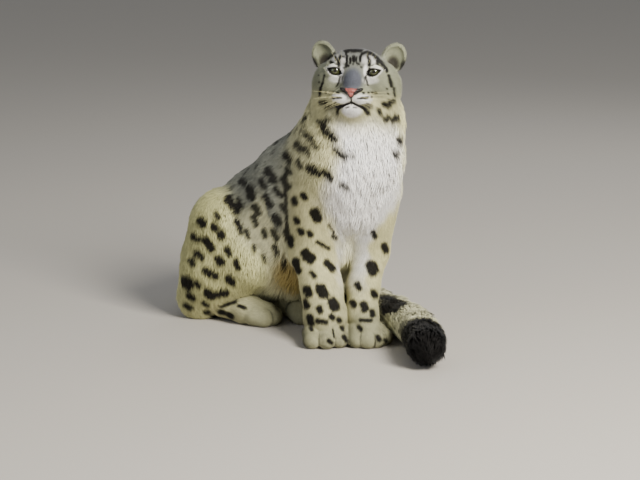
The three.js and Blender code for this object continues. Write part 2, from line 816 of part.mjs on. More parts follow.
const tailAxis = spine(TAIL.path);
const TAIL_SPLITS = [0.2, 0.42, 0.62, 0.82];
const TAIL_DEPTH = 13; // half the depth of the tail's coat, none where it is pressed on the floor
const coatedTail = tailField();
const tailDepth = (p) => TAIL_DEPTH * between(p.z, 12, 44);
const tailCore = length({
  field: inward(coatedTail, tailDepth),
  axis: tailAxis,
  up: UP,
  from: 0,
  to: 1,
  rings: 19,
  sides: 8,
  startRound: true,
  endRound: true,
});
const TAIL_ROWS = 10;
const TAIL_LOCKS = 4; // in each row
const tailPoints = tailAxis.getSpacedPoints(120);
function tailFlow(p) {
  let nearest = 0;
  tailPoints.forEach((q, i) => {
    if (q.distanceToSquared(p) < tailPoints[nearest].distanceToSquared(p)) nearest = i;
  });
  return tailAxis.getTangentAt(nearest / 120).setZ(nearest > 112 ? -0.5 : 0);
}
const tailLocks = lockRows({
  field: coatedTail,
  axis: tailAxis,
  up: UP,
  rows: [...Array(TAIL_ROWS).keys()].map((i) => ({
    at: 0.06 + (0.88 * i) / (TAIL_ROWS - 1),
    from: -32,
    to: 212,
    count: TAIL_LOCKS,
  })),
  flow: tailFlow,
  size: { long: 120, wide: 52, thick: 12, sink: TAIL_DEPTH + 3, rise: 0 },
});

// Nodes, each cut clear of those it meets
const inHead = (body) => body.transform([...headPlace.elements]);
const legs = { right: foreleg(FORELEG.right), left: foreleg(FORELEG.left) };
const hinds = { right: hindleg(HINDLEG.right), left: hindleg(HINDLEG.left) };
const onFloor = (body) => body.trimByPlane([0, 0, 1], 0);
const cut = (body, ...others) => largest(others.reduce((rest, other) => rest.subtract(other), onFloor(body)));
const withLocks = (core, locks) => (grow = 0) => fuse(core(grow), ...locks.map((make) => make(grow)));

// The pieces that thin cuts leave, in the order of the places that they hold
function partAt(body, discs, places) {
  const pieces = body.subtract(fuse(...discs)).decompose();
  return places.map((place) => {
    const held = pieces.filter((piece) => {
      const { min, max } = piece.boundingBox();
      return place.every((value, k) => value > min[k] && value < max[k]);
    });
    return held.reduce((best, piece) => (piece.volume() > best.volume() ? piece : best));
  });
}

const headCoat = withLocks(headCore, ruffLocks);
const headGrown = inHead(headCoat(GAP));
const earsGrown = bothSides((s) => inHead(earSolid(s, GAP)));
const neckEnd = axisFrame(neckAxis, 1, FRONT);
const belowNeck = (grow) => (trunk) => {
  const offset = neckEnd.along.dot(neckEnd.at) + SPLIT - grow;
  return trunk.trimByPlane(neckEnd.along.toArray(), offset);
};
const trunkCoat = withLocks(trunkCore, [...chestLocks, ...bellyLocks]);
const trunkGrown = belowNeck(GAP)(trunkCoat(GAP));
const neckCoat = withLocks(neckCore, neckLocks);
const neckGrown = neckCoat(GAP);
const tail = withLocks(tailCore, tailLocks);
const tailGrown = tail(GAP);
const thighsGrown = { right: hinds.right.thigh(GAP), left: hinds.left.thigh(GAP) };
const shanksGrown = { right: hinds.right.shank(GAP), left: hinds.left.shank(GAP) };
const rightForelegGrown = fuse(legs.right.paw(GAP), legs.right.upper(GAP));
const leftForelegGrown = fuse(legs.left.paw(GAP), legs.left.upper(GAP));

const headBody = addMouth(addLids(headCoat())).subtract(noseSolid(GAP));
const noseBody = noseSolid().subtract(nostril(-1)).subtract(nostril(1));
const nodes = {
  head: inHead(largest(headBody)),
  nose: inHead(largest(noseBody)),
  eye_right: inHead(ball(HEAD.eyeball, eyeCentre(-1))),
  eye_left: inHead(ball(HEAD.eyeball, eyeCentre(1))),
  ear_right: cut(inHead(earSolid(-1)), headGrown),
  ear_left: cut(inHead(earSolid(1)), headGrown),
  neck: cut(neckCoat(), headGrown, ...earsGrown, trunkGrown),
  torso: cut(belowNeck(0)(trunkCoat()), thighsGrown.right, thighsGrown.left, tailGrown),
};
["right", "left"].forEach((side) => {
  nodes[`front_leg_${side}`] = cut(legs[side].upper(), trunkGrown, neckGrown);
  nodes[`front_paw_${side}`] = cut(legs[side].paw(), trunkGrown);
  nodes[`thigh_${side}`] = cut(hinds[side].thigh(), tailGrown);
  nodes[`shank_${side}`] = cut(hinds[side].shank(), thighsGrown[side], trunkGrown, tailGrown);
  nodes[`hind_foot_${side}`] = cut(hinds[side].foot(), thighsGrown[side], trunkGrown);
});
nodes.front_paw_left = cut(nodes.front_paw_left, rightForelegGrown);
nodes.front_leg_left = cut(nodes.front_leg_left, rightForelegGrown);
nodes.thigh_left = cut(nodes.thigh_left, thighsGrown.right, shanksGrown.right);
const tailPlaces = [0.1, 0.3, 0.5, 0.7, 0.9].map((t) => tailAxis.getPointAt(t).toArray());
partAt(
  cut(tail(), leftForelegGrown),
  TAIL_SPLITS.map((t) => partingDisc(tailAxis, t, 78)),
  tailPlaces,
).forEach((piece, i) => {
  nodes[`tail_${i + 1}`] = piece;
});

// Finish of each kind of surface
const FINISH = {
  face: { color: "#cfc7a0", roughness: 0.85 },
  coat: { color: "#c9c096", roughness: 0.9 },
  bib: { color: "#e6dfcf", roughness: 0.9 },
  tip: { color: "#1b1512", roughness: 0.9 },
  leather: { color: "#a8605a", roughness: 0.45 },
  eye: { color: "#8c8f66", roughness: 0.08 },
};
const finishOf = (name) => {
  if (name === "nose") return FINISH.leather;
  if (name.startsWith("eye")) return FINISH.eye;
  if (name.startsWith("head") || name.startsWith("ear")) return FINISH.face;
  if (name === "neck") return FINISH.bib;
  if (name === "tail_5") return FINISH.tip;
  return FINISH.coat;
};

const leopard = new THREE.Group();
const box = new THREE.Box3();
Object.entries(nodes).forEach(([name, body]) => {
  const material = new THREE.MeshStandardMaterial({ ...finishOf(name), metalness: 0 });
  const mesh = new THREE.Mesh(toGeometry(body), material);
  mesh.name = name;
  box.expandByObject(mesh);
  leopard.add(mesh);
});
const middle = box.getCenter(new THREE.Vector3());
leopard.position.set(-middle.x, -middle.y, -box.min.z);

export default leopard;
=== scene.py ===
"""Looks of a sitting snow leopard, a still life-size model, laid out as a Blender add-on."""

import math
from collections import namedtuple

import bpy
import numpy as np
from bpy.props import FloatProperty, FloatVectorProperty, IntProperty, PointerProperty
from mathutils import Euler, Matrix, Vector
from mathutils.bvhtree import BVHTree


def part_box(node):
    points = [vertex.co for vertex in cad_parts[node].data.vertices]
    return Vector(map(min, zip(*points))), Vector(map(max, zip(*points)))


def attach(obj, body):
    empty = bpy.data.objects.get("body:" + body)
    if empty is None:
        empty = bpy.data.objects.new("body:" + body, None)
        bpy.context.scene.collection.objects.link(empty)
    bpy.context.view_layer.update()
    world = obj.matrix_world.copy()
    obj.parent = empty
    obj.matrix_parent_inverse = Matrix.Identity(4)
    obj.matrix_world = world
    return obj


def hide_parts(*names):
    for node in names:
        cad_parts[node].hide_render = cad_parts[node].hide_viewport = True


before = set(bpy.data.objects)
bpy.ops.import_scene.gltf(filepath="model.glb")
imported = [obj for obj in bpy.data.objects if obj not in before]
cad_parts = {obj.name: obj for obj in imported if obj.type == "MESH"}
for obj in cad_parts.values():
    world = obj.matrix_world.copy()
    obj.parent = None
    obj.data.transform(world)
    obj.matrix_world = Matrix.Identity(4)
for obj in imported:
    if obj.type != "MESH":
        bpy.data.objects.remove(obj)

bl_info = {
    "name": "Sitting snow leopard",
    "version": (1, 0, 0),
    "blender": (4, 5, 0),
    "location": "View3D > Sidebar > Leopard",
    "description": "Builds the skin, coat, markings, eyes and stage of a sitting snow leopard",
    "category": "Object",
}

# Units: the animal is drawn in millimetres, +Z up, face towards -Y, its right side at -X, round a
# point on the floor between the forepaws. The frame places it by the solids of the eyes.
# In the formulas p is points of the animal, q is points in the head's own frame, and s is a side,
# -1 for the right and 1 for the left.
MM = 0.001
SEED = 11
SIDES = (-1, 1)
SIDE_NAMES = {-1: "right", 1: "left"}


# Settings, as they show in the sidebar
def size(name, about, value, low=0.0, high=2000.0):
    """A length given in millimetres and kept in metres."""
    default, low, high = (v * MM for v in (value, low, high))
    return FloatProperty(name=name, description=about, default=default, min=low, max=high, unit="LENGTH")


def colour(name, about, code):
    """A colour given as sRGB in hex and kept as linear values."""
    values = linear(code)
    return FloatVectorProperty(name=name, description=about, default=values, subtype="COLOR", min=0, max=1)


def linear(code):
    """The linear values of an sRGB colour written as hex."""
    parts = [int(code[i : i + 2], 16) / 255 for i in (1, 3, 5)]
    return tuple(c / 12.92 if c <= 0.04045 else ((c + 0.055) / 1.055) ** 2.4 for c in parts)


class CoatSettings(bpy.types.PropertyGroup):
    """Lengths of the coat's hair, and the number of tufts."""

    face: size("Face", "Hair of the face", 6)
    crown: size("Crown", "Hair on top of the head", 10)
    cheek: size("Cheek", "Hair of the cheeks and jaw", 18)
    ear: size("Ear", "Hair of the ears", 8)
    neck: size("Neck", "Hair round the neck", 27)
    chest: size("Chest", "Hair of the chest", 27)
    back: size("Back", "Hair of the back and shoulders", 20)
    belly: size("Belly", "Hair of the flanks and belly", 44)
    thigh: size("Thigh", "Hair of the haunches", 19)
    leg: size("Leg", "Hair of the legs", 12)
    paw: size("Paw", "Hair of the paws", 8)
    tail: size("Tail", "Hair of the tail", 32)
    tufts: IntProperty(name="Tufts", description="Tufts in the whole coat", default=290000, min=1000)


class ColourSettings(bpy.types.PropertyGroup):
    """Colours of the coat, skin and eyes."""

    cream: colour("Cream", "Ground colour of the legs, neck and chest", "#dbd6a3")
    paw: colour("Paw", "Paws", "#abaa88")
    grey: colour("Grey", "Back", "#85877b")
    white: colour("White", "Bib, chin, muzzle and round the eyes", "#fffdf9")
    smoke: colour("Smoke", "Face, cheeks and ears", "#95987f")
    crown: colour("Crown", "Top of the head", "#74757c")
    # Painted shade deep in the ear's hollow, where the hair itself is pale
    hollow: colour("Ear hollow", "Inside of the ears", "#2c2721")
    crown_top: colour("Crown top", "Dark band over the crown", "#2f2f38")
    bridge: colour("Bridge", "Bridge of the nose", "#5b5e68")
    thigh: colour("Thigh", "Ground colour of the haunches", "#bdbb86")
    flank: colour("Flank", "Lower flank, belly and tail", "#d5d3ae")
    ochre: colour("Ochre", "Stained hair behind the elbow", "#a08b4c")
    spot: colour("Spot", "Spots and stripes", "#0b0806")
    tip: colour("Tip", "End of the tail", "#0a0807")
    pink: colour("Pink", "Middle of the nose", "#96544e")
    # Also painted shade: in the creases between the toes, under the upper lids, at the ends of the eyes and
    # in the nostrils
    dark: colour("Dark", "Lids, lips and edges of the nose", "#140f0f")
    iris: colour("Iris", "Rim of the iris", "#15170a")
    iris_middle: colour("Iris middle", "Iris round the pupil", "#35381b")


class StageSettings(bpy.types.PropertyGroup):
    """Camera and light."""

    distance: size("Camera distance", "Camera from its target", 5000, 100, 20000)
    elevation: FloatProperty(
        name="Camera height", description="Angle above the floor", default=math.radians(12), subtype="ANGLE"
    )
    view_width: size("View width", "Width seen at the target", 1500, 100, 9000)
    key: FloatProperty(name="Key light", description="Power of the main light", default=330.0, unit="POWER")
    fill: FloatProperty(name="Fill light", description="Power of the fill light", default=16.0, unit="POWER")
    floor: colour("Floor", "Plain floor and backdrop", "#bcb7af")


def length_of(q):
    """Length of each vector."""
    return np.sqrt(np.einsum("ij,ij->i", q, q))


# Anatomy: each mass is a cone with round ends or an egg, and gives the distance to its surface
class Mass:
    """A mass of flesh, the coat that grows on it and the lie of that coat."""

    def __init__(self, coat, lie):
        self.coat = coat
        self.lie = np.array(lie, float)
        self.squash = 1.0
        self.blend = 1e3  # the most that it runs together with the masses before it

    def flatten(self, squash, along):
        """The mass is pressed flat along a direction, to a share of its depth."""
        self.squash = squash
        self.along = np.array(along, float) / np.linalg.norm(along)
        return self


class Cone(Mass):
    """A mass with round ends that narrows from one end to the other."""

    def __init__(self, a, b, ra, rb, coat="leg", lie=(0, 0, -1)):
        super().__init__(coat, lie)
        self.a = np.array(a, float)
        self.b = np.array(b, float)
        self.ra = ra
        self.rb = rb

    def distance(self, p):
        span = self.b - self.a
        q = p - self.a
        t = np.clip(q @ span / max(span @ span, 1e-6), 0, 1)
        q = q - t[:, None] * span
        if self.squash != 1:
            q = q + (q @ self.along)[:, None] * (1 / self.squash - 1) * self.along
        return length_of(q) - (self.ra + (self.rb - self.ra) * t)

    def span(self):
        """Middle and reach of a ball round the mass."""
        return (self.a + self.b) / 2, np.linalg.norm(self.b - self.a) / 2 + max(self.ra, self.rb)

    def shapes(self, less):
        """Spheres that fill the mass: place, radii and turn."""
        steps = max(2, int(np.linalg.norm(self.b - self.a) / (0.45 * min(self.ra, self.rb))) + 1)
        for t in np.linspace(0, 1, steps):
            r = self.ra + (self.rb - self.ra) * t - less
            yield self.a + (self.b - self.a) * t, (r, r * self.squash, r), (0, 0, 0)


class Egg(Mass):
    """A mass with three radii, turned by angles in degrees."""

    def __init__(self, centre, radii, turn=(0, 0, 0), coat="face", lie=(0, 1, 0)):
        super().__init__(coat, lie)
        self.centre = np.array(centre, float)
        self.radii = np.array(radii, float)
        self.turn = tuple(math.radians(v) for v in turn)
        self.back = np.array(Euler(self.turn, "XYZ").to_matrix())

    def distance(self, p):
        q = (p - self.centre) @ self.back
        inside = length_of(q / self.radii)
        slope = length_of(q / self.radii**2)
        return inside * (inside - 1) / np.maximum(slope, 1e-9)

    def span(self):
        return self.centre, self.radii.max()

    def shapes(self, less):
        yield self.centre, tuple(self.radii - less), self.turn


def both(make):
    """What is made for one side, for both sides."""
    return [make(s) for s in SIDES]


HEAD_AT = (6, -30, 638)  # between the eyes
HEAD_TURN = tuple(math.radians(v) for v in (-10, 1, -7))  # nose up, rolled, towards the right
head_place = Matrix.Translation(HEAD_AT) @ (
    Matrix.Rotation(HEAD_TURN[2], 4, "Z")
    @ Matrix.Rotation(HEAD_TURN[0], 4, "X")
    @ Matrix.Rotation(HEAD_TURN[1], 4, "Y")
)
HEAD_TURNED = np.array(head_place)[:3, :3]
HEAD_BACK = np.array(head_place.inverted())


def in_head(p):
    """Points of the animal in the head's own frame."""
    return p @ HEAD_BACK[:3, :3].T + HEAD_BACK[:3, 3]


def from_head(q):
    """Points of the head's own frame in the animal's."""
    return q @ HEAD_TURNED.T + np.array(HEAD_AT)


skull = [
    Egg((0, 70, -4), (70, 84, 60), coat="crown", lie=(0, 1, 0.1)),
    Cone((0, 22, 14), (0, -28, -42), 30, 22, coat="face", lie=(0, 1, 0.9)),
    *both(lambda s: Egg((s * 24, 16, 20), (28, 26, 24), coat="crown", lie=(s * 0.25, 1, 0.7))),
    *both(lambda s: Egg((s * 50, 34, -22), (37, 42, 40), coat="face", lie=(s * 0.7, 1, -0.35))),
    Cone((0, 20, -70), (0, 60, -60), 46, 60, coat="cheek", lie=(0, 0.6, -1)),
    *both(lambda s: Egg((s * 62, 62, -34), (42, 46, 56), coat="cheek", lie=(s * 0.45, 0.8, -0.8))),
    *both(lambda s: Egg((s * 46, 58, -74), (44, 44, 44), coat="cheek", lie=(s * 0.35, 0.6, -1))),
]
muzzle = [
    *both(
        lambda s: Egg((s * 20, -22, -61), (27, 28, 20), (0, 0, s * 14), coat="face", lie=(s * 0.8, 1, -0.2))
    ),
    Egg((0, -14, -85), (27, 26, 18), coat="face", lie=(0, 0.8, -0.7)),
]
EYE_SPACING = 87
EYEBALL = 18.5
EYE_SINK = 7
EYE_OPEN = (35, 17)  # width and height of the almond that the upper lid cuts
UPPER_LID = 5.4  # its edge above the middle of the eye
EYE_TILT = math.radians(22)  # outer corner up
# Across and height of the line of the mouth, from its middle to a corner
MOUTH = ((0, -71), (8, -75), (20, -80), (30, -81.5), (37, -80))
eye_centres = [np.array((s * EYE_SPACING / 2, EYE_SINK, 0)) for s in SIDES]
EAR_SPACING, EAR_BACK, EAR_UP = 158, 84, 34
EAR_TURN = (0, 24, 16)  # tilted out and turned out, degrees


def ear_egg(s, radii, forward):
    """An egg in the turn of an ear: the ear itself, or the hollow in its front."""
    tilt, turn = (math.radians(v) for v in EAR_TURN[1:])
    matrix = Matrix.Rotation(s * tilt, 3, "Y") @ Matrix.Rotation(s * turn, 3, "Z")
    centre = matrix @ Vector((0, -forward, 0)) + Vector((s * EAR_SPACING / 2, EAR_BACK, EAR_UP))
    egg = Egg(centre, radii, coat="ear", lie=(s * 0.25, 0.1, 1))
    egg.turn = tuple(matrix.to_euler("XYZ"))
    egg.back = np.array(matrix)
    return egg


ears = both(lambda s: ear_egg(s, (30, 15, 37), 0))
ear_cups = both(lambda s: ear_egg(s, (23, 17, 29), 13))
lids = [Egg(c + (0, 2, 0), (EYEBALL + 6.8,) * 3, coat="face", lie=(0, 1, 0.4)) for c in eye_centres]

NECK_END = (0, 66, 450)
WITHERS, RIBS, LOINS, PELVIS = (-16, 84, 420), (-98, 172, 328), (-186, 262, 236), (-246, 318, 150)
DOWN_BACK = (-0.55, 0.55, -0.75)
body = [
    Cone((12, 70, 568), (12, 62, 520), 83, 98, "neck", (0, 0.1, -1)).flatten(0.84, (0, 1, 0.2)),
    Cone((12, 62, 520), NECK_END, 98, 103, "neck", (0, 0, -1)).flatten(0.84, (0, 1, 0.2)),
    Cone((4, 30, 530), (2, 34, 440), 74, 84, "chest", (0, -0.1, -1)),
    Cone((-4, 96, 520), (-10, 104, 450), 70, 90, "neck", (-0.2, 0.5, -1)),
    Cone(NECK_END, WITHERS, 100, 112, "neck", (-0.2, 0.2, -1)),
    Cone((2, 46, 400), (0, 60, 336), 96, 86, "chest", (0, 0, -1)),
    Cone(WITHERS, RIBS, 112, 126, "back", DOWN_BACK),
    Cone(RIBS, LOINS, 126, 128, "back", DOWN_BACK),
    Cone(LOINS, PELVIS, 128, 124, "back", DOWN_BACK),
    Cone((-60, 130, 240), (-160, 240, 150), 84, 94, "belly", (-0.3, 0.3, -0.9)),
    Cone((0, 130, 214), (-90, 230, 140), 62, 84, "belly", (-0.2, 0.2, -1)),
    Cone(PELVIS, (-276, 350, 108), 120, 92, "thigh", (-0.2, 0.4, -0.9)),
]


TOE_BLEND = 5


def toes_of(wrist, toes, half, coat):
    """Four toes side by side, in front of the middle of a paw."""
    toes = np.array(toes, float)
    ahead = (toes - wrist) * (1, 1, 0)
    ahead /= np.linalg.norm(ahead)
    across = np.array((-ahead[1], ahead[0], 0))
    result = []
    for place in (-1, -0.34, 0.34, 1):
        tip = toes + across * place * (half - 20) + ahead * 16 * (1 - place * place)
        root = toes + across * place * (half - 20) * 0.7 - ahead * 26
        tip[2], root[2] = 20, 27
        result.append(Cone(root, tip, 29, 24, coat, ahead - (0, 0, 0.35)))
        result[-1].blend = TOE_BLEND
    return result


def foreleg(shoulder, elbow, forearm, wrist, toes, half, radii):
    upper, at_elbow, at_forearm, at_wrist = radii
    return [
        Cone(shoulder, elbow, upper, at_elbow, "leg", (-0.1, 0.3, -1)),
        Cone(elbow, forearm, at_elbow, at_forearm, "leg", (0, 0, -1)),
        Cone(forearm, wrist, at_forearm, at_wrist, "leg", (0, -0.1, -1)),
        Cone(wrist, toes, at_wrist, 30, "paw", (0, -0.6, -0.8)),
        *toes_of(wrist, toes, half, "paw"),
    ]


foreleg_right = foreleg(
    (-72, 54, 350), (-83, 74, 196), (-67, 34, 122), (-58, 2, 60), (-46, -30, 30), 65, (64, 55, 48, 50)
)
foreleg_left = foreleg(
    (60, 58, 346), (50, 88, 202), (30, 56, 122), (26, 24, 62), (44, -28, 30), 51, (60, 42, 38, 38)
)


def haunch(hip, back, knee, hock):
    return [
        Cone(hip, back, 84, 82, "thigh", (-0.25, 0.2, -1)),
        Cone(hip, knee, 84, 66, "thigh", (0.1, -0.2, -1)),
        Cone(back, hock, 82, 50, "thigh", (-0.1, 0, -1)),
        Cone(knee, hock, 62, 48, "thigh", (-0.2, 0.1, -1)),
    ]


def hind_foot(hock, ball, toes):
    return [
        Cone(hock, ball, 40, 36, "leg", (1, -0.5, -0.3)),
        Cone(ball, toes, 36, 28, "paw", (1, -0.4, -0.4)),
        *toes_of(ball, toes, 45, "paw"),
    ]


HOCKS = ((-358, 260, 50), (-262, 396, 50))
haunch_right = haunch((-290, 228, 230), (-318, 240, 130), (-240, 186, 160), HOCKS[0])
haunch_left = haunch((-196, 376, 204), (-214, 392, 124), (-112, 300, 152), HOCKS[1])
foot_right = hind_foot(HOCKS[0], (-250, 188, 36), (-200, 178, 28))
foot_left = hind_foot(HOCKS[1], (-138, 250, 36), (-98, 192, 28))

TAIL = (
    (-286, 372, 98), (-318, 424, 66), (-288, 476, 52), (-216, 494, 47), (-122, 448, 46),
    (-34, 360, 46), (26, 262, 46), (66, 172, 46), (104, 86, 47), (136, 10, 48), (154, -70, 50),
    (162, -150, 51), (164, -214, 52),
)
TAIL_RADII = (58, 41, 45)  # at the base, a quarter along and at the tip


def tail_radius(share):
    base, middle, tip = TAIL_RADII
    return np.interp(share, (0, 0.25, 1), (base, middle, tip))


def tail_length(i, a, b):
    """One length of the tail, with its hair towards the tip and a little down."""
    start, end = (tail_radius(k / (len(TAIL) - 1)) for k in (i, i + 1))
    return Cone(a, b, start, end, "tail", np.subtract(b, a) / 80 + (0, 0, -0.15))


tail = [tail_length(i, a, b) for i, (a, b) in enumerate(zip(TAIL, TAIL[1:]))]


def smooth_min(a, b, blend):
    """The lesser of two distances, rounded off where they come nearer than the blend."""
    near = np.maximum(blend - np.abs(a - b), 0) / blend
    return np.minimum(a, b) - near * near * blend / 4


def blended(masses, p, blend):
    """Distance to masses that run together."""
    total = masses[0].distance(p)
    for mass in masses[1:]:
        total = smooth_min(total, mass.distance(p), min(blend, mass.blend))
    return total


class Group:
    """Masses that run together. Points far from all of them are left out of the sums."""

    FAR = 80.0

    def __init__(self, masses, blend=0.0, join=0.0):
        self.masses = masses
        self.blend = blend
        self.join = join
        spans = [m.span() for m in masses]
        low = np.min([c - r for c, r in spans], axis=0)
        high = np.max([c + r for c, r in spans], axis=0)
        self.middle, self.half = (low + high) / 2, (high - low) / 2

    def near(self, p):
        """Points within reach of the group, and a far distance for all the others."""
        away = np.abs(p - self.middle) - self.half
        far = away.max(axis=1)
        return np.flatnonzero(far < self.FAR), np.maximum(far, self.FAR)

    def distance(self, p):
        near, total = self.near(p)
        total[near] = blended(self.masses, p[near], self.blend)
        return total


def eye_opening(q, s):
    """Distance outside an eye's almond opening, seen from the front."""
    x = q[:, 0] - s * EYE_SPACING / 2
    along = x * math.cos(EYE_TILT) + s * q[:, 2] * math.sin(EYE_TILT)
    up = -s * x * math.sin(EYE_TILT) + q[:, 2] * math.cos(EYE_TILT)
    half, tall = EYE_OPEN[0] / 2, EYE_OPEN[1] / 2
    share = np.clip(1 - (along / half) ** 2, 0, 1)
    almond = np.maximum(np.abs(up) - tall * share**0.8, np.abs(along) - half)
    return np.maximum(almond, q[:, 2] - UPPER_LID + 0.006 * x * x)


def under_eye(q, s):
    """1 on the white crescent along the lower lid."""
    away = eye_opening(q, s)
    slant = s * (q[:, 0] - s * EYE_SPACING / 2) * math.sin(EYE_TILT) - q[:, 2] * math.cos(EYE_TILT)
    return step(away, 0.4, 1) * (1 - step(away, 3.4, 5.4)) * step(slant, -1, 2) * (q[:, 1] < 30)


def head_field(p):
    """Distance to the outside of the head's coat."""
    everywhere = in_head(p)
    near, result = HEAD_GROUP.near(everywhere)
    q = everywhere[near]
    total = smooth_min(blended(skull, q, 22), blended(muzzle, q, 10), 16)
    for s, lid, ear, cup in zip(SIDES, lids, ears, ear_cups):
        total = smooth_min(total, lid.distance(q), 7)
        opening = np.maximum(eye_opening(q, s), q[:, 1] - EYE_SINK + 4)
        total = -smooth_min(-total, opening, 2)
        shell = -smooth_min(-ear.distance(q), cup.distance(q), 3)
        total = smooth_min(total, shell, 12)
    result[near] = total + creases(q)
    return result


def creases(q):
    """Depth of the mouth's line and of the cleft under the nose."""
    depth = np.zeros(len(q))
    front = np.flatnonzero((q[:, 1] < 0) & (np.abs(q[:, 2] + 72) < 24))
    x, z = np.abs(q[front, 0]), q[front, 2]
    lip = np.min([np.hypot(x - a, z - b) for a, b in MOUTH_POINTS], axis=0)
    cleft = np.maximum(2.4 - x, 0) * (q[front, 1] < -30) * (z < -56) * (z > -72)
    depth[front] = 0.9 * np.maximum(3.2 - lip, 0) + 0.8 * cleft
    return depth


def along_line(points, count):
    """Points at even shares of a polyline."""
    points = np.array(points, float)
    steps = np.r_[0, np.cumsum(np.linalg.norm(np.diff(points, axis=0), axis=1))]
    shares = np.linspace(0, steps[-1], count)
    return np.stack([np.interp(shares, steps, points[:, k]) for k in range(points.shape[1])], axis=1)


MOUTH_POINTS = along_line(MOUTH, 16)
HEAD_GROUP = Group(skull + muzzle + ears + lids)
TRUNK = Group(body, 55)
LIMBS = [  # blend inside the group, blend with the body
    Group(foreleg_right, 16, 24),
    Group(foreleg_left, 16, 24),
    Group(haunch_right, 50, 16),
    Group(haunch_left, 50, 16),
    Group(foot_right, 14, 10),
    Group(foot_left, 14, 10),
    Group(tail, 10, 16),
]


def field(p):
    """Distance to the outside of the coat, negative inside."""
    core = smooth_min(head_field(p), TRUNK.distance(p), 18)
    total = core.copy()
    for limb in LIMBS:
        near, away = limb.near(p)
        own = blended(limb.masses, p[near], limb.blend)
        total[near] = np.minimum(total[near], smooth_min(core[near], own, limb.join))
        total = np.minimum(total, away + 1e3 * (away <= limb.FAR))
    return total


ALL_MASSES = [(m, True) for m in HEAD_GROUP.masses]  # each mass, and whether it is in the head's frame
ALL_MASSES += [(m, False) for g in (TRUNK, *LIMBS) for m in g.masses]
COATS = np.array([m.coat for m, _ in ALL_MASSES])
KIND_REACH = 9  # over how many millimetres one kind of coat goes over to the next
TOES = [k for k, (mass, _) in enumerate(ALL_MASSES) if mass.blend == TOE_BLEND]


def coat_at(p):
    """Length and lie of the coat at each point, and the share that each mass near it has in them."""
    settings = bpy.context.scene.leopard_coat
    gaps = np.full((len(p), len(ALL_MASSES)), 1e3)
    column = 0
    for group in (HEAD_GROUP, TRUNK, *LIMBS):
        q = in_head(p) if group is HEAD_GROUP else p
        near = group.near(q)[0]
        for mass in group.masses:
            gaps[near, column] = mass.distance(q[near])
            column += 1
    weights = np.exp(-(gaps - gaps.min(axis=1)[:, None]) / KIND_REACH)
    weights /= weights.sum(axis=1)[:, None]
    lengths = np.array([getattr(settings, m.coat) for m, _ in ALL_MASSES]) / MM
    lies = np.array([HEAD_TURNED @ m.lie if on_head else m.lie for m, on_head in ALL_MASSES])
    lies /= np.linalg.norm(lies, axis=1)[:, None]
    return weights @ lengths, weights @ lies, weights


# Kinds of coat. Each has its colour, the width of a tuft, how many tufts lie over each other, how far
# clumps part, and the spacing and size of its spots where the photograph doesn't show them.
Kind = namedtuple("Kind", "colour width cover fluff spacing spot")
KINDS = dict(
    face=Kind("smoke", 0.66, 5.6, 0.12, 0, 0),
    crown=Kind("crown", 0.85, 5.4, 0.12, 17, 4),
    cheek=Kind("smoke", 1.5, 6.6, 0.3, 0, 0),
    ear=Kind("smoke", 0.9, 5.4, 0.12, 0, 0),
    neck=Kind("cream", 2.1, 7.5, 0.36, 34, 8),
    chest=Kind("cream", 2.2, 7.5, 0.42, 0, 0),
    back=Kind("grey", 2.3, 6.0, 0.12, 37, 11),
    belly=Kind("flank", 2.6, 7.0, 0.5, 48, 9),
    thigh=Kind("thigh", 2.0, 5.6, 0.12, 40, 12),
    leg=Kind("cream", 1.5, 5.2, 0.12, 33, 9),
    paw=Kind("paw", 1.3, 5.0, 0.12, 22, 5),
    tail=Kind("flank", 2.5, 7.0, 0.36, 46, 19),
)


def by_kind(weights, what):
    """A value of the kinds of coat at each point."""
    return weights @ np.array([getattr(KINDS[coat], what) for coat in COATS])


def share_of(weights, *kinds):
    """How much of the coat at each point is of the kinds named, 0 to 1."""
    return weights @ np.isin(COATS, kinds)


DEPTH_SHARE = 0.3  # depth of the coat over its hair's length


# Camera view of the photograph, used to set down the markings that it shows
TARGET = np.array((-71, 100, 223), float)
SENSOR = 36.0  # width of the camera's sensor, millimetres


def camera_axes():
    """The camera's place, the way it looks and its upward way."""
    stage = bpy.context.scene.leopard_stage
    tilt = stage.elevation
    ahead = np.array((0, math.cos(tilt), -math.sin(tilt)))
    up = np.array((0, math.sin(tilt), math.cos(tilt)))
    return TARGET - ahead * stage.distance / MM, ahead, up


def on_view(p):
    """Where the camera sees points, as millimetres across and up the plane through its target."""
    eye, ahead, up = camera_axes()
    away = p - eye
    scale = (TARGET - eye) @ ahead / (away @ ahead)
    return np.stack([TARGET[0] + away[:, 0] * scale, TARGET @ up + (away @ up) * scale], axis=1)


def ray_through(across, high):
    """Start and direction of the camera's ray through a place on that plane."""
    eye, ahead, up = camera_axes()
    place = TARGET + np.array((across - TARGET[0], 0, 0)) + up * (high - TARGET @ up)
    way = place - eye
    return eye, way / np.linalg.norm(way)


# Marks that the photograph shows, read off it in its pixels. Each is its width, then the places
# that its middle line runs through, across and down. The face and neck were read off an enlarged view.
PIXEL = 2.344  # millimetres on the plane through the camera's target
ZERO = (350.3, 341.9)  # the pixel where across and up are zero on that plane
ENLARGED = 13.07
CORNER = (300, 30)  # the pixel at the upper left of the enlarged view


def read_off(strokes, enlarged=False, digits=0):
    """Width and middle line of each mark, in millimetres across and up that plane."""
    marks = []
    for wide, *places in strokes:
        line = np.array(places, float).reshape(-1, 2)
        if enlarged:
            wide, line = wide / ENLARGED, line / ENLARGED + CORNER
        marks.append((round(wide * PIXEL, 1), np.round((line - ZERO) * (PIXEL, -PIXEL), digits)))
    return marks


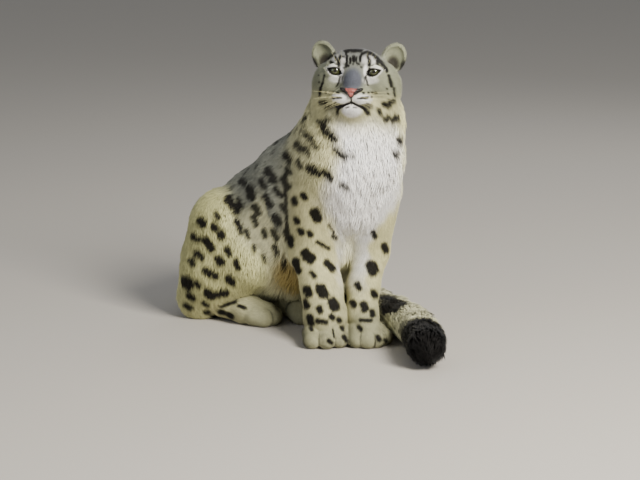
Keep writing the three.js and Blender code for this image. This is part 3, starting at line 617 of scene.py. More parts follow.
FACE = read_off((
    (26, 530, 345, 505, 380, 500, 460), (24, 885, 345, 910, 390, 905, 455),
    (20, 612, 350, 612, 400, 600, 450), (20, 790, 400, 785, 350, 810, 310, 860, 288),
    (14, 640, 285, 605, 290, 600, 320, 625, 335), (16, 575, 345, 520, 345),
    (18, 655, 360, 660, 400, 655, 430), (18, 740, 355, 735, 400), (26, 700, 350, 705, 400),
    (16, 620, 465, 635, 462), (14, 570, 490, 580, 487), (14, 597, 480, 603, 478),
    (16, 745, 430, 775, 445), (14, 795, 478, 808, 485), (14, 690, 440, 700, 445),
    (20, 545, 255, 495, 262, 440, 310, 380, 365, 330, 430, 315, 490),
    (22, 880, 290, 940, 315, 1010, 370, 1075, 440, 1125, 500, 1140, 540), (24, 400, 412, 412, 425),
    (20, 465, 350, 470, 385), (20, 975, 355, 985, 365), (24, 1012, 395, 1015, 425),
    (18, 365, 390, 350, 420), (40, 560, 245, 640, 238, 720, 240, 800, 245, 890, 250),
    (34, 600, 262, 700, 265, 800, 262), (30, 520, 262, 470, 275), (26, 905, 262, 940, 275),
    (12, 520, 605, 505, 680, 470, 740), (14, 858, 600, 872, 660, 890, 720),
    (14, 318, 590, 302, 650, 298, 700), (14, 285, 700, 278, 745), (18, 268, 760, 262, 820, 260, 880),
    (24, 1162, 600, 1180, 660, 1200, 735), (18, 1232, 765, 1236, 820, 1240, 880),
    (14, 330, 818, 338, 826), (16, 385, 822, 400, 826), (18, 425, 825, 445, 827),
    (18, 475, 822, 500, 824), (14, 352, 880, 362, 886), (18, 415, 884, 445, 890),
    (18, 475, 885, 500, 886), (16, 520, 886, 535, 890), (16, 825, 820, 840, 824),
    (16, 895, 820, 905, 824), (16, 935, 825, 955, 828), (16, 990, 825, 1005, 827),
    (14, 755, 896, 765, 896), (18, 790, 895, 830, 888), (20, 850, 890, 890, 884),
    (18, 925, 878, 955, 870), (20, 500, 1000, 490, 1060, 495, 1110), (34, 858, 985, 862, 1050),
    (12, 600, 1020, 640, 1010), (12, 700, 1015, 740, 1020), (10, 243, 590, 240, 600),
    (12, 247, 680, 250, 690), (14, 1138, 768, 1145, 772), (12, 1150, 835, 1160, 840),
), enlarged=True, digits=1)
NECK = read_off((
    (46, 275, 967, 321, 962), (46, 350, 1030, 395, 1015), (48, 1180, 952, 1215, 945),
    (56, 1110, 985, 1160, 1005), (30, 1290, 972, 1310, 975), (40, 1030, 1062, 1045, 1110),
    (34, 885, 1101, 900, 1110), (60, 1215, 1190, 1260, 1175), (33.5, 345, 1179, 400, 1200),
    (40, 240, 1215, 260, 1225), (46, 280, 1245, 321, 1257), (50, 60, 1200, 90, 1190),
), enlarged=True)
BODY = read_off((
    (4, 320, 125, 324, 127), (3.5, 385.5, 121, 388, 119), (5.5, 325, 133, 334, 141),
    (3.5, 315, 147, 317, 149), (4.2, 336, 153, 345, 159), (2.5, 351, 157, 353, 158),
    (4, 397, 142, 398, 145), (3.6, 393.5, 155, 395, 158), (5.97, 312, 171, 317, 174),
    (5.1, 325.5, 174.2, 330, 178.5), (3.63, 343, 186, 347, 188), (7, 315, 213, 318, 219),
    (4.5, 300, 231, 302, 233), (4, 309, 233, 311, 236), (3, 317, 243, 328, 249), (2, 328, 225, 333, 232),
    (3, 333, 237, 335, 239), (4.5, 290.5, 238, 291.5, 246), (4.5, 303, 196, 305, 199),
    (4, 293.5, 201, 295, 204), (4, 296, 220, 298, 223), (5.5, 296, 262, 298, 271),
    (8, 306, 255, 310, 259), (5, 327, 264, 333, 270), (4, 312, 274, 314, 277), (5.5, 307, 290, 309, 295),
    (7.5, 321, 290, 324, 295), (5.5, 305, 304, 307, 307), (7, 333, 303, 335, 308),
    (4.5, 319, 309, 320, 312), (5.5, 310.5, 319, 312, 323), (4, 318, 322, 326, 323),
    (4.5, 331, 317, 333, 319), (4, 338, 320, 339, 322), (3.5, 344, 337, 346, 341),
    (3, 329, 341, 331, 343), (3, 341, 328, 343, 330), (3, 310, 328, 312, 330), (1.5, 333, 330, 334, 338),
    (4, 373, 233, 375, 237), (4.5, 383, 246, 386, 252), (8, 371, 267, 373, 272),
    (4.5, 357, 285, 359, 289), (4.5, 373, 293, 375, 297), (4.5, 352, 303, 354, 306),
    (6, 363, 305, 365, 309), (4, 371.5, 312, 372.5, 316), (3, 361, 321, 371, 321),
    (3.5, 359, 328, 361, 330), (3.5, 377, 337, 379, 340), (2.5, 384, 340, 386, 342),
))
HAUNCH = read_off((
    (5.55, 228, 201, 236, 212.5), (3, 238.5, 201, 242, 208), (3.63, 237, 223, 241, 233),
    (3.5, 216, 216, 218, 219), (5, 201, 223, 204, 225), (4, 194, 238, 198, 241),
    (4.5, 220, 234, 222, 238), (4.5, 206, 241, 212, 250), (4.5, 198, 255, 202, 258),
    (5, 219, 260, 222, 264), (4.5, 206, 271, 209, 274, 216, 277), (7, 186, 282, 190, 285),
    (5, 229, 280, 232, 282), (5, 208, 293, 212, 296), (4, 218, 294, 226, 293), (3.5, 187, 306, 192, 308),
    (3, 204, 303, 208, 305), (3, 206, 312, 210, 313), (3, 213, 314, 217, 316), (3, 221, 312, 225, 313),
    (3, 229, 314, 233, 317), (2.5, 222, 307, 231, 304, 239, 301), (2.5, 240, 306, 246, 308),
    (4, 176, 262, 178, 268), (3.5, 183, 245, 185, 249), (3.5, 192, 262, 194, 266),
    (4, 214, 227, 216, 230), (3.5, 228, 250, 230, 256), (3.5, 190, 296, 194, 299),
    (3.5, 236, 262, 238, 268), (3, 197, 284, 200, 287),
))
FLANK = read_off((
    (8, 250, 190, 253, 198), (7, 266, 198, 270, 205), (7, 256, 208, 259, 213), (6, 254, 218, 256, 224),
    (7, 276, 217, 279, 223), (6, 274, 231, 277, 238), (5, 253, 247, 254, 252), (5, 275, 247, 277, 253),
    (5, 295, 199, 296, 204), (8, 268, 172, 274, 180), (7, 284, 180, 288, 188), (7, 240, 181, 247, 186),
    (7, 286, 156, 291, 162), (7, 297, 146, 303, 151), (6, 276, 190, 281, 195), (6, 262, 182, 265, 188),
    (5, 288, 170, 291, 174), (5, 282, 206, 285, 211), (5, 264, 230, 266, 236), (5, 246, 232, 248, 238),
    (4, 262, 256, 264, 262), (4, 284, 262, 286, 268), (6, 308, 137, 312, 141), (5, 299, 163, 302, 168),
    (5, 306, 150, 308, 155), (5, 286, 232, 288, 240),
    (3, 286.7, 172.5, 286.3, 190.5, 286, 210, 287, 224, 291, 242),
))
TAIL_MARKS = read_off((
    (3.84, 379, 300, 395, 302), (8.53, 389.5, 309.5, 398, 308, 409, 314.5),
))


# Meshes
OFFSET = np.zeros(3)  # from the animal's own place to the frame's, set from the solids


def to_frame(p):
    return (p + OFFSET) * MM


def to_animal(v):
    return v / MM - OFFSET


def set_offset():
    """Sets the animal's eyes where the frame's eyes are."""
    boxes = [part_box(name) for name in ("eye_right", "eye_left")]
    middle = sum((np.array(low) + np.array(high) for low, high in boxes), np.zeros(3)) / 4
    OFFSET[:] = middle / MM - np.array(head_place @ Vector((0, EYE_SINK, 0)))


def head_piece(name, points, faces, tint, material):
    """A piece drawn in the head's own frame."""
    piece = mesh_piece(name, from_head(points), faces, tint, material)
    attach(piece, "root")
    return piece


def deselect():
    for thing in bpy.context.selected_objects:
        thing.select_set(False)


def mesh_piece(name, points, triangles, tint=None, material=None):
    """A piece from points in animal millimetres and triangles, with a colour for each point."""
    mesh = bpy.data.meshes.new(name)
    mesh.vertices.add(len(points))
    mesh.vertices.foreach_set("co", to_frame(points).astype(np.float32).ravel())
    mesh.loops.add(triangles.size)
    mesh.loops.foreach_set("vertex_index", triangles.astype(np.int32).ravel())
    mesh.polygons.add(len(triangles))
    mesh.polygons.foreach_set("loop_start", np.arange(0, triangles.size, 3, dtype=np.int32))
    mesh.update(calc_edges=True)
    mesh.polygons.foreach_set("use_smooth", np.ones(len(triangles), bool))
    if tint is not None:
        paint(mesh, tint)
    piece = bpy.data.objects.new(name, mesh)
    bpy.context.collection.objects.link(piece)
    if material:
        mesh.materials.append(material)
    return piece


def paint(mesh, tint):
    """Sets the Tint of each point, from a colour for each or one for all."""
    tint = np.broadcast_to(tint, (len(mesh.vertices), 3))
    layer = mesh.color_attributes.new("Tint", "FLOAT_COLOR", "POINT")
    layer.data.foreach_set("color", np.c_[tint, np.ones(len(tint))].astype(np.float32).ravel())


def points_of(mesh):
    flat = np.empty(len(mesh.vertices) * 3, np.float32)
    mesh.vertices.foreach_get("co", flat)
    return to_animal(flat.reshape(-1, 3).astype(float))


def set_points(mesh, points):
    mesh.vertices.foreach_set("co", to_frame(points).astype(np.float32).ravel())
    mesh.update()


def triangles_of(mesh):
    mesh.calc_loop_triangles()
    flat = np.empty(len(mesh.loop_triangles) * 3, np.int32)
    mesh.loop_triangles.foreach_get("vertices", flat)
    return flat.reshape(-1, 3)


def tube(path, radii, sides=6):
    """Points and triangles of a round rod along a path, closed at both ends to a point."""
    path = np.array(path, float)
    ahead = np.gradient(path, axis=0)
    ahead /= np.linalg.norm(ahead, axis=1)[:, None]
    side = np.cross(ahead, (0.13, 1, 0.09))
    side /= np.linalg.norm(side, axis=1)[:, None]
    over = np.cross(side, ahead)
    turns = np.linspace(0, 2 * np.pi, sides, endpoint=False)
    ring = side[:, None] * np.cos(turns)[None, :, None] + over[:, None] * np.sin(turns)[None, :, None]
    radii = np.broadcast_to(radii, len(path))
    points = (path[:, None] + ring * radii[:, None, None]).reshape(-1, 3)
    points = np.r_[points, path[:1] - ahead[:1] * radii[0] * 0.6, path[-1:] + ahead[-1:] * radii[-1] * 0.6]
    return points, ring_faces(len(path), sides)


def ring_faces(rings, around):
    """Triangles between rings of points, and from the two end rings to the two points after them."""
    faces = []
    last = (rings - 1) * around
    for j in range(around):
        k = (j + 1) % around
        for row in range(0, last, around):
            a, b = row + j, row + k
            c, d = b + around, a + around
            faces += [(a, d, c), (a, c, b)]
        faces.append((last + around, j, k))
        faces.append((last + around + 1, last + k, last + j))
    return np.array(faces)


def join_shapes(shapes):
    """Points and triangles of several shapes as one."""
    points, faces, count = [], [], 0
    for some, triangles in shapes:
        points.append(some)
        faces.append(triangles + count)
        count += len(some)
    return np.concatenate(points), np.concatenate(faces)


def ball_shape(subdivisions):
    """Points and triangles of a ball of radius 1."""
    bpy.ops.mesh.primitive_ico_sphere_add(subdivisions=subdivisions, radius=1)
    ball = bpy.context.object
    points = np.array([v.co[:] for v in ball.data.vertices])
    faces = triangles_of(ball.data)
    bpy.data.objects.remove(ball)
    return points, faces


def remesh(piece, voxel):
    """Makes one closed surface of a piece whose parts cross each other."""
    bpy.context.view_layer.objects.active = piece
    piece.select_set(True)
    piece.data.remesh_voxel_size = voxel * MM
    bpy.ops.object.voxel_remesh()


def relax(piece, rounds):
    """Evens out the surface of a piece."""
    smooth = piece.modifiers.new("Relax", "SMOOTH")
    smooth.factor = 0.5
    smooth.iterations = rounds
    bpy.ops.object.modifier_apply(modifier=smooth.name)


# Materials
def node(tree, kind, **values):
    """Adds a node, with its inputs and settings given by name."""
    added = tree.nodes.new(kind)
    for name, value in values.items():
        label = name.replace("_", " ")
        if hasattr(added, name):
            setattr(added, name, value)
        elif isinstance(value, bpy.types.NodeSocket):
            tree.links.new(value, added.inputs[label])
        else:
            added.inputs[label].default_value = value
    return added


def painted(name, roughness, sheen=0.0, coat=0.0, bump=0.0, grain=0.002, specular=0.5):
    """A surface that takes its colour from the points' Tint, with a fine grain."""
    material = bpy.data.materials.new(name)
    material.use_nodes = True
    tree = material.node_tree
    shader = tree.nodes["Principled BSDF"]
    tint = node(tree, "ShaderNodeAttribute", attribute_name="Tint")
    tree.links.new(tint.outputs["Color"], shader.inputs["Base Color"])
    shader.inputs["Roughness"].default_value = roughness
    shader.inputs["Sheen Weight"].default_value = sheen
    shader.inputs["Sheen Roughness"].default_value = 0.5
    shader.inputs["Coat Weight"].default_value = coat
    shader.inputs["Coat Roughness"].default_value = 0.03
    shader.inputs["Specular IOR Level"].default_value = specular
    if bump:
        place = node(tree, "ShaderNodeTexCoord")
        spot = place.outputs["Object"]
        noise = node(tree, "ShaderNodeTexNoise", Vector=spot, Scale=1 / grain, Detail=3.0)
        bumps = node(tree, "ShaderNodeBump", Height=noise.outputs["Fac"], Strength=bump, Distance=0.001)
        tree.links.new(bumps.outputs["Normal"], shader.inputs["Normal"])
    return material


# Markings
MARK_SPREAD = 1.25  # marks are drawn this much wider than they show, because hair lies over their edges
HAIR_OVER_MARKS = 0.026  # and wider still by this share for each millimetre of that hair
PLACES_TRIED = 7000  # for the spots out of view
SAME_PLACE = 12  # a ray that ends nearer than this to a point has met it
CLEAR_OF_DRAWN = 30  # how far they stay from the marks in view on the back


def ragged(p, scale):
    """A smooth uneven value from -1 to 1 at points, the same at every run."""
    turned = p @ np.array([[0.31, -0.84, 0.44], [0.78, 0.47, 0.35], [-0.53, 0.29, 0.82]]) / scale
    a = np.sin(turned[:, 0] + 1.7 * np.sin(turned[:, 1] * 1.3 + 0.6))
    b = np.sin(turned[:, 1] * 1.9 + 1.3 * np.sin(turned[:, 2] * 1.7 + 2.1))
    c = np.sin(turned[:, 2] * 2.7 + turned[:, 0] * 1.1 + 4.2)
    return (a + b + c) / 3


def to_line(p, line):
    """Distance from points to a polyline in the same dimensions."""
    best = np.full(len(p), 1e9)
    for a, b in zip(line, line[1:]):
        span = b - a
        t = np.clip((p - a) @ span / max(span @ span, 1e-6), 0, 1)
        best = np.minimum(best, np.linalg.norm(p - a - t[:, None] * span, axis=1))
    return best


def step(value, low, high):
    """0 up to the low value, 1 from the high one on, and smooth between them."""
    t = np.clip((value - low) / (high - low), 0, 1)
    return t * t * (3 - 2 * t)


class Markings:
    """Spots and stripes: those the photograph shows, and others of the same kinds where it can't."""

    def __init__(self, surface):
        self.tree = surface
        self.seen = []
        groups = (  # marks, a share of their width, and how dark they are
            (FACE, 1.28, 1.0),
            (NECK, 1.0, 1.0),
            (BODY, 1.0, 1.0),
            (HAUNCH, 1.1, 1.0),
            (FLANK, 0.68, 0.95),
            (TAIL_MARKS, 0.8, 1.0),
        )
        for marks, share, strength in groups:
            for wide, line in marks:
                hit = self.hit(line[len(line) // 2 - 1 : len(line) // 2 + 1].mean(axis=0))
                if hit is not None:
                    hair = coat_at(hit[None])[0][0]
                    half = wide / 2 * share * (MARK_SPREAD + HAIR_OVER_MARKS * hair)
                    self.seen.append((line, half, hit, strength))
        self.others = []

    def hit(self, place):
        """Where the camera's ray through a place in the view meets the skin."""
        start, way = ray_through(*place)
        found = self.tree.ray_cast(Vector(start), Vector(way))[0]
        return None if found is None else np.array(found)

    def visible(self, p):
        """True where nothing stands between the camera and a point of the skin."""
        start = camera_axes()[0]
        way = p - start
        found = self.tree.ray_cast(Vector(start), Vector(way / np.linalg.norm(way)))[0]
        return found is not None and np.linalg.norm(np.array(found) - p) < SAME_PLACE

    def drawn_near(self, p, reach):
        return any(np.linalg.norm(p - hit) < reach for _, _, hit, _ in self.seen)

    def scatter(self, points, kinds, rng):
        """Places spots over the sides that the photograph doesn't show."""
        spacing = np.array([KINDS[kind].spacing for kind in kinds])
        order = [i for i in rng.permutation(len(points))[:PLACES_TRIED] if spacing[i]]
        taken = np.zeros(0, int)
        for i in order:
            gaps = length_of(points[taken] - points[i])
            if not len(taken) or (gaps > np.maximum(spacing[taken], spacing[i])).all():
                taken = np.r_[taken, i]
        for i in taken:
            p, kind = points[i], kinds[i]
            if self.visible(p) and (kind != "back" or self.drawn_near(p, CLEAR_OF_DRAWN)):
                continue
            wide = KINDS[kind].spot * rng.uniform(0.75, 1.25)
            ring = kind in ("back", "belly", "thigh") and rng.random() < 0.75
            strength = 0.82 if kind in ("back", "belly") else 1.0
            self.others.append((p, wide, ring, strength))

    def dark(self, p):
        """How dark the marks are at points, 0 to 1."""
        flat = on_view(p)
        rough = ragged(p, 7) * 0.6 + ragged(p, 2.6) * 0.4
        mask = np.zeros(len(p))
        for line, half, hit, strength in self.seen:
            reach = half * 1.6 + 4
            low, high = line.min(axis=0) - reach, line.max(axis=0) + reach
            near = np.flatnonzero(((flat > low) & (flat < high)).all(axis=1))
            # A mark stays near its middle on the body, also where the body turns away from the view
            extent = half * 1.15 + 0.62 * np.linalg.norm(np.ptp(line, axis=0)) + 4
            near = near[length_of(p[near] - hit) < extent * 1.15]
            if not len(near):
                continue
            kept = 1 - step(length_of(p[near] - hit), extent * 0.85, extent * 1.15)
            away = to_line(flat[near], line) + rough[near] * min(half * 0.35, 4)
            soft = min(half * 0.35, 2.5) + 0.4
            shade = strength * kept * (1 - step(away, half - soft, half + soft))
            mask[near] = np.maximum(mask[near], shade)
        for centre, wide, ring, strength in self.others:
            near = np.flatnonzero(np.abs(p - centre).max(axis=1) < wide * 1.6)
            if not len(near):
                continue
            away = np.linalg.norm(p[near] - centre, axis=1) + rough[near] * wide * 0.3
            soft = wide * 0.18 + 0.5
            spot = 1 - step(away, wide - soft, wide + soft)
            if ring:  # a rosette, paler inside and open on two sides
                spot *= 0.35 + 0.65 * step(away, wide * 0.35, wide * 0.6)
                turn = np.sin(np.arctan2(p[near, 2] - centre[2], p[near, 0] - centre[0]) * 2 + centre[0])
                spot *= 0.45 + 0.55 * step(turn, -1, -0.3)
            mask[near] = np.maximum(mask[near], spot * strength)
        return mask


def blob(q, centre, radii):
    """1 in the middle of an egg, 0 outside it."""
    return 1 - step(np.linalg.norm((q - centre) / np.array(radii, float), axis=1), 0.55, 1.1)


def mixed(base, tint, share):
    """Colours at points, changed towards a tint by a share for each."""
    return base + (np.array(tint) - base) * share[:, None]


def lid_line_and_shade(q, s):
    """1 on the dark wedge along the outer part of the upper lid and past the eye's outer corner: the lid's
    own dark line, with painted shade under the heavy upper lid.
    """
    shape = np.array(((10, 5.4), (16, 4.4), (23, 5.6)))
    line = shape * (s, 1) + (s * EYE_SPACING / 2, 0)
    return (1 - step(to_line(q[:, ::2], line), 0.6, 2)) * (q[:, 1] < 30)


def mouth_dark(q):
    """1 on the black edge of the mouth, its corners and the groove under the nose."""
    flat = np.stack([np.abs(q[:, 0]), q[:, 2]], axis=1)
    front = q[:, 1] < 12
    line = to_line(flat, np.array(MOUTH)) - np.interp(flat[:, 0], (0, 18, 28, 36), (1.6, 2.4, 6.5, 8.5))
    groove = to_line(flat, np.array(((0, -58), (0, -72)))) - 1.0
    chin_side = to_line(q[:, ::2], np.array(((37, -84), (33, -96)))) - 3.5
    return front * (1 - step(np.minimum(np.minimum(line, groove), chin_side), 0, 1.5))


def ground_colour(p, weights):
    """Colour of the coat between its marks."""
    colours = bpy.context.scene.leopard_colours
    tint = weights @ np.array([getattr(colours, KINDS[coat].colour)[:] for coat in COATS])
    head = share_of(weights, "face", "crown", "cheek", "ear")
    tint = trunk_colour(tint, p, weights, 1 - head, colours)
    tint = head_colour(tint, in_head(p), weights, head, colours)
    return mixed(tint, colours.tip, tail_end(p, weights))


# Height, middle and half width of the white bib
BIB = np.array(
    ((170, 4, 34), (215, 4, 38), (270, 14, 52), (330, 26, 92), (450, 44, 72), (560, 12, 62)), float
)


def trunk_colour(tint, p, weights, off_head, colours):
    """Grey back, pale flanks, stained hair behind the elbow and white bib."""
    trunk = share_of(weights, "neck", "chest", "back", "belly")
    spine = np.array((WITHERS, RIBS, LOINS, PELVIS), float)
    above = p[:, 2] - np.interp(p[:, 1], spine[:, 1], spine[:, 2]) + 12 * ragged(p, 17)
    behind = step(p[:, 1], WITHERS[1], 120)
    tint = mixed(tint, colours.grey, trunk * behind * step(above, -50, 5) * off_head)
    tint = mixed(tint, colours.flank, trunk * (p[:, 1] > WITHERS[1]) * (1 - step(above, -110, -55)))
    tint = mixed(tint, colours.ochre, blob(p, (-120, 130, 116), (86, 100, 74)) * trunk * 0.9)
    bib_middle = np.interp(p[:, 2], BIB[:, 0], BIB[:, 1])
    bib_half = np.interp(p[:, 2], BIB[:, 0], BIB[:, 2]) + 9 * ragged(p, 13)
    middle = 1 - step(np.abs(p[:, 0] - bib_middle), bib_half * 0.65, bib_half * 1.3)
    front = step(-p[:, 1] + 84, 0, 50) * step(p[:, 2], 90, 200)
    return mixed(tint, colours.white, middle * front * off_head)


def head_colour(tint, q, weights, head, colours):
    """Pale cheeks, brows and muzzle, dark bridge, mouth and crown, dark lid lines with painted shade under
    the upper lids, and the colours of the ears with painted shade deep in their hollows.
    """
    on_ear = share_of(weights, "ear")
    patches = (  # colour, place, radii and strength, on each side
        (colours.white, (38, -4, -19), (22, 40, 11), 0.6),  # under the eye
        (colours.white, (27, -8, 2), (6, 30, 16), 0.95),  # beside the bridge of the nose
        (colours.white, (36, -4, 26), (24, 40, 12), 0.6),  # brow
        (colours.white, (24, -40, -64), (28, 40, 15), 1),  # whisker pad
        (colours.dark, (25, -20, -16), (2.5, 22, 12), 0.8),  # line down from the eye's inner corner
    )
    tint = mixed(tint, colours.cream, (1 - step(q[:, 2], -80, -36)) * head * 0.75)
    tint = mixed(tint, colours.bridge, blob(q, (0, -30, -22), (29, 60, 38)) * head)
    for s, ear, cup in zip(SIDES, ears, ear_cups):
        for shade, place, radii, strength in patches:
            tint = mixed(tint, shade, blob(q, np.array(place) * (s, 1, 1), radii) * head * strength)
        # Dark lid line, and painted shade under the heavy upper lid
        tint = mixed(tint, colours.dark, lid_line_and_shade(q, s) * head * 0.9)
        tint = mixed(tint, colours.white, under_eye(q, s) * head)
        # Painted shade deep in the ear's hollow; the hair inside the ear is pale
        tint = mixed(tint, colours.hollow, blob(q, cup.centre + (-s * 3, 14, -7), (18, 17, 22)) * 0.95)
        behind = step(ear.distance(q), -30, 2) * on_ear * step(q[:, 1], EAR_BACK + 2, EAR_BACK + 10)
        rim = step(length_of(((q - ear.centre) / ear.radii)[:, ::2]), 0.6, 0.85)
        tint = mixed(tint, colours.spot, behind * rim * (s * q[:, 0] > 0) * 0.9)
        tint = mixed(tint, colours.spot, blob(q, ear.centre + (s * 25, 0, -22), (12, 30, 28)) * 0.95)
    tint = mixed(tint, colours.white, blob(q, (0, -36, -92), (30, 40, 24)) * head)
    tint = mixed(tint, colours.dark, mouth_dark(q) * head)
    top = step(q[:, 2] + 0.0022 * q[:, 0] ** 2, 46, 54) * head * (1 - on_ear)
    return mixed(tint, colours.crown_top, top * step(q[:, 1], 0, 24) * (1 - step(q[:, 1], 48, 90)) * 0.9)


def tail_end(p, weights):
    """1 on the black end of the tail, which starts further out on its upper side."""
    share, place = tail_share(p)
    inner = (place[:, 0] - p[:, 0]) / TAIL_RADII[2]
    above = (p[:, 2] - place[:, 2]) / TAIL_RADII[2]
    return share_of(weights, "tail") * step(share + 0.03 * inner - 0.03 * above, 0.895, 0.915)


TAIL_POINTS = along_line(TAIL, 80)


def tail_share(p):
    """How far along the tail the nearest place of its middle line is, from 0 to 1, and that place."""
    best = np.full(len(p), 1e9)
    nearest = np.zeros(len(p), int)
    for i, place in enumerate(TAIL_POINTS):
        gap = ((p - place) ** 2).sum(axis=1)
        nearer = gap < best
        best[nearer] = gap[nearer]
        nearest[nearer] = i
    return nearest / (len(TAIL_POINTS) - 1), TAIL_POINTS[nearest]


def toe_crease_shade(weights):
    """1 in the crease where two toes meet, where painted shade darkens the coat."""
    toes = np.sort(weights[:, TOES], axis=1)
    return step(toes[:, -2] / np.maximum(toes[:, -1], 1e-9), 0.72, 0.95) * step(toes[:, -1], 0.25, 0.4)


def coat_colour(p, weights, markings):
    """Colour of the coat with its marks, and painted shade in the creases between the toes."""
    tint = ground_colour(p, weights)
    colours = bpy.context.scene.leopard_colours
    # Painted shade in the creases between the toes
    tint = mixed(tint, colours.dark, toe_crease_shade(weights) * 0.8)
    tint = tint * (1 + 0.10 * ragged(p, 23)[:, None] + 0.06 * ragged(p, 6)[:, None])
    return mixed(tint, colours.spot, markings.dark(p) * 0.99)


# What the operators hand on to each other
made = {}


class Skin:
    """The skin's mesh as arrays, for roots and colours."""

    def __init__(self, piece):
        mesh = piece.data
        self.points = points_of(mesh)
        self.faces = triangles_of(mesh)
        corners = self.points[self.faces]
        cross = np.cross(corners[:, 1] - corners[:, 0], corners[:, 2] - corners[:, 0])
        double = np.linalg.norm(cross, axis=1)
        self.areas = double / 2
        self.normals = cross / np.maximum(double, 1e-12)[:, None]
        self.middles = corners.mean(axis=1)
        self.tree = BVHTree.FromPolygons(self.points.tolist(), self.faces.tolist())
        flat = np.empty(len(mesh.loops) * 2, np.float32)
        mesh.uv_layers["OFBake"].data.foreach_get("uv", flat)
        loops = np.empty(len(mesh.loop_triangles) * 3, np.int32)
        mesh.loop_triangles.foreach_get("loops", loops)
        self.uv = flat.reshape(-1, 2)[loops.reshape(-1, 3)]


PROBE = 0.7  # how far aside the slope is felt for
LONGEST_MOVE = 9
ROUNDS = 3


def project(points):
    """Moves points onto the skin, which lies under the outside of the coat by the coat's depth."""
    points = points.copy()
    depth = DEPTH_SHARE * coat_at(points)[0]
    for _ in range(ROUNDS):
        here = field(points)
        slope = np.stack([field(points + PROBE * axis) - here for axis in np.eye(3)], axis=1) / PROBE
        move = slope * ((here + depth) / np.maximum((slope**2).sum(axis=1), 0.25))[:, None]
        points -= move * np.minimum(1, LONGEST_MOVE / np.maximum(length_of(move), 1e-9))[:, None]
    return points


VOXEL, QUICK_VOXEL, LEATHER_VOXEL = 4.5, 7, 0.8
SKIN_OFF_FLOOR, TUFT_OFF_FLOOR = 0.6, 0.4
SKIN_PAINTED_SHADE = 0.72  # how light the skin is painted beside the hair over it: painted shade in the partings between the tufts


class LEOPARD_OT_skin(bpy.types.Operator):
    """Build the skin under the coat, one closed surface over the whole body"""

    bl_idname = "leopard.skin"
    bl_label = "Skin"

    def execute(self, context):
        deselect()
        coat = context.scene.leopard_coat
        ball = ball_shape(3)
        shapes = []
        for mass, on_head in ALL_MASSES:
            if mass in lids:
                continue
            less = DEPTH_SHARE * getattr(coat, mass.coat) / MM
            for centre, radii, turn in mass.shapes(less):
                matrix = np.array(Euler(turn, "XYZ").to_matrix())
                place = ball[0] * radii @ matrix.T + centre
                shapes.append((from_head(place) if on_head else place, ball[1]))
        points, faces = join_shapes(shapes)
        skin = mesh_piece("skin", points, faces)
        remesh(skin, VOXEL)
        self.refine(skin)
        set_points(skin.data, project(points_of(skin.data)))
        relax(skin, 3)
        set_points(skin.data, project(points_of(skin.data)))
        points = points_of(skin.data)
        points[:, 2] = np.maximum(points[:, 2], SKIN_OFF_FLOOR)
        set_points(skin.data, points)
        skin.data.shade_smooth()
        bpy.ops.object.mode_set(mode="EDIT")
        bpy.ops.mesh.select_all(action="SELECT")
        bpy.ops.mesh.quads_convert_to_tris()
        bpy.ops.uv.smart_project(angle_limit=math.radians(70), island_margin=0.001)
        bpy.ops.object.mode_set(mode="OBJECT")
        skin.data.uv_layers[0].name = "OFBake"
        made["skin"] = Skin(skin)
        kinds = self.kinds(made["skin"].middles)
        marks = Markings(made["skin"].tree)
        marks.scatter(made["skin"].middles, kinds, np.random.default_rng(SEED))
        made["markings"] = marks
        weights = coat_at(points)[2]
        # The skin takes the coat's colour darkened as painted shade in the partings
        paint(skin.data, coat_colour(points, weights, marks) * SKIN_PAINTED_SHADE)
        # Dull, and darkened by painted shade in its Tint, so that the partings between the tufts look deep
        skin.data.materials.append(painted("Tanned skin under the coat", 0.8, bump=0.4))
        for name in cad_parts:
            if not name.startswith(("eye", "nose")):
                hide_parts(name)
        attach(skin, "root")
        return {"FINISHED"}

    def kinds(self, points):
        """The kind of coat that prevails at each point."""
        return COATS[coat_at(points)[2].argmax(axis=1)]

    def refine(self, skin):
        """Smaller faces over the head, and smaller still over the front of the face."""
        bpy.ops.object.mode_set(mode="EDIT")
        bpy.ops.mesh.select_mode(type="VERT")
        # Half width, lowest height and furthest back of each part of the head
        for wide, low, back in ((140, -110, 150), (70, -102, 40))[: 2]:
            bpy.ops.mesh.select_all(action="DESELECT")
            bpy.ops.object.mode_set(mode="OBJECT")
            q = in_head(points_of(skin.data))
            chosen = (np.abs(q[:, 0]) < wide) & (q[:, 2] > low) & (q[:, 1] < back)
            skin.data.vertices.foreach_set("select", chosen)
            bpy.ops.object.mode_set(mode="EDIT")
            bpy.ops.mesh.select_mode(type="VERT")
            bpy.ops.mesh.subdivide(number_cuts=1, smoothness=0)
        bpy.ops.object.mode_set(mode="OBJECT")


LONG_HAIR = 18  # from this length on a tuft bends
PIECES = (  # piece, kinds of coat, slot
    ("head_coat", ("face", "crown", "ear"), "face_coat"),
    ("ruff_coat", ("cheek",), "face_coat"),
    ("bib_coat", ("neck", "chest"), "bib_coat"),
    ("trunk_coat", ("back", "belly"), "coat"),
    ("haunch_coat", ("thigh",), "coat"),
    ("leg_coat", ("leg", "paw"), "coat"),
    ("tail_coat", ("tail",), "coat"),
)
MOST_TRIANGLES = 190000  # in one piece
BENT_TRIANGLES, SHORT_TRIANGLES = 10, 4  # in one tuft
ROOT_DEPTH = 0.9  # how far the root of a tuft lies under the skin
THICKNESS = 0.22  # half of it, over the width of the tuft
PATCH = 0.0015  # half the width of a tuft's patch on the OFBake map
SIDE_SHADE = 0.6  # how far a tuft's edges turn their shading from the skin's


def unit(v):
    """Vectors at length 1."""
    return v / np.maximum(np.linalg.norm(v, axis=1), 1e-9)[:, None]


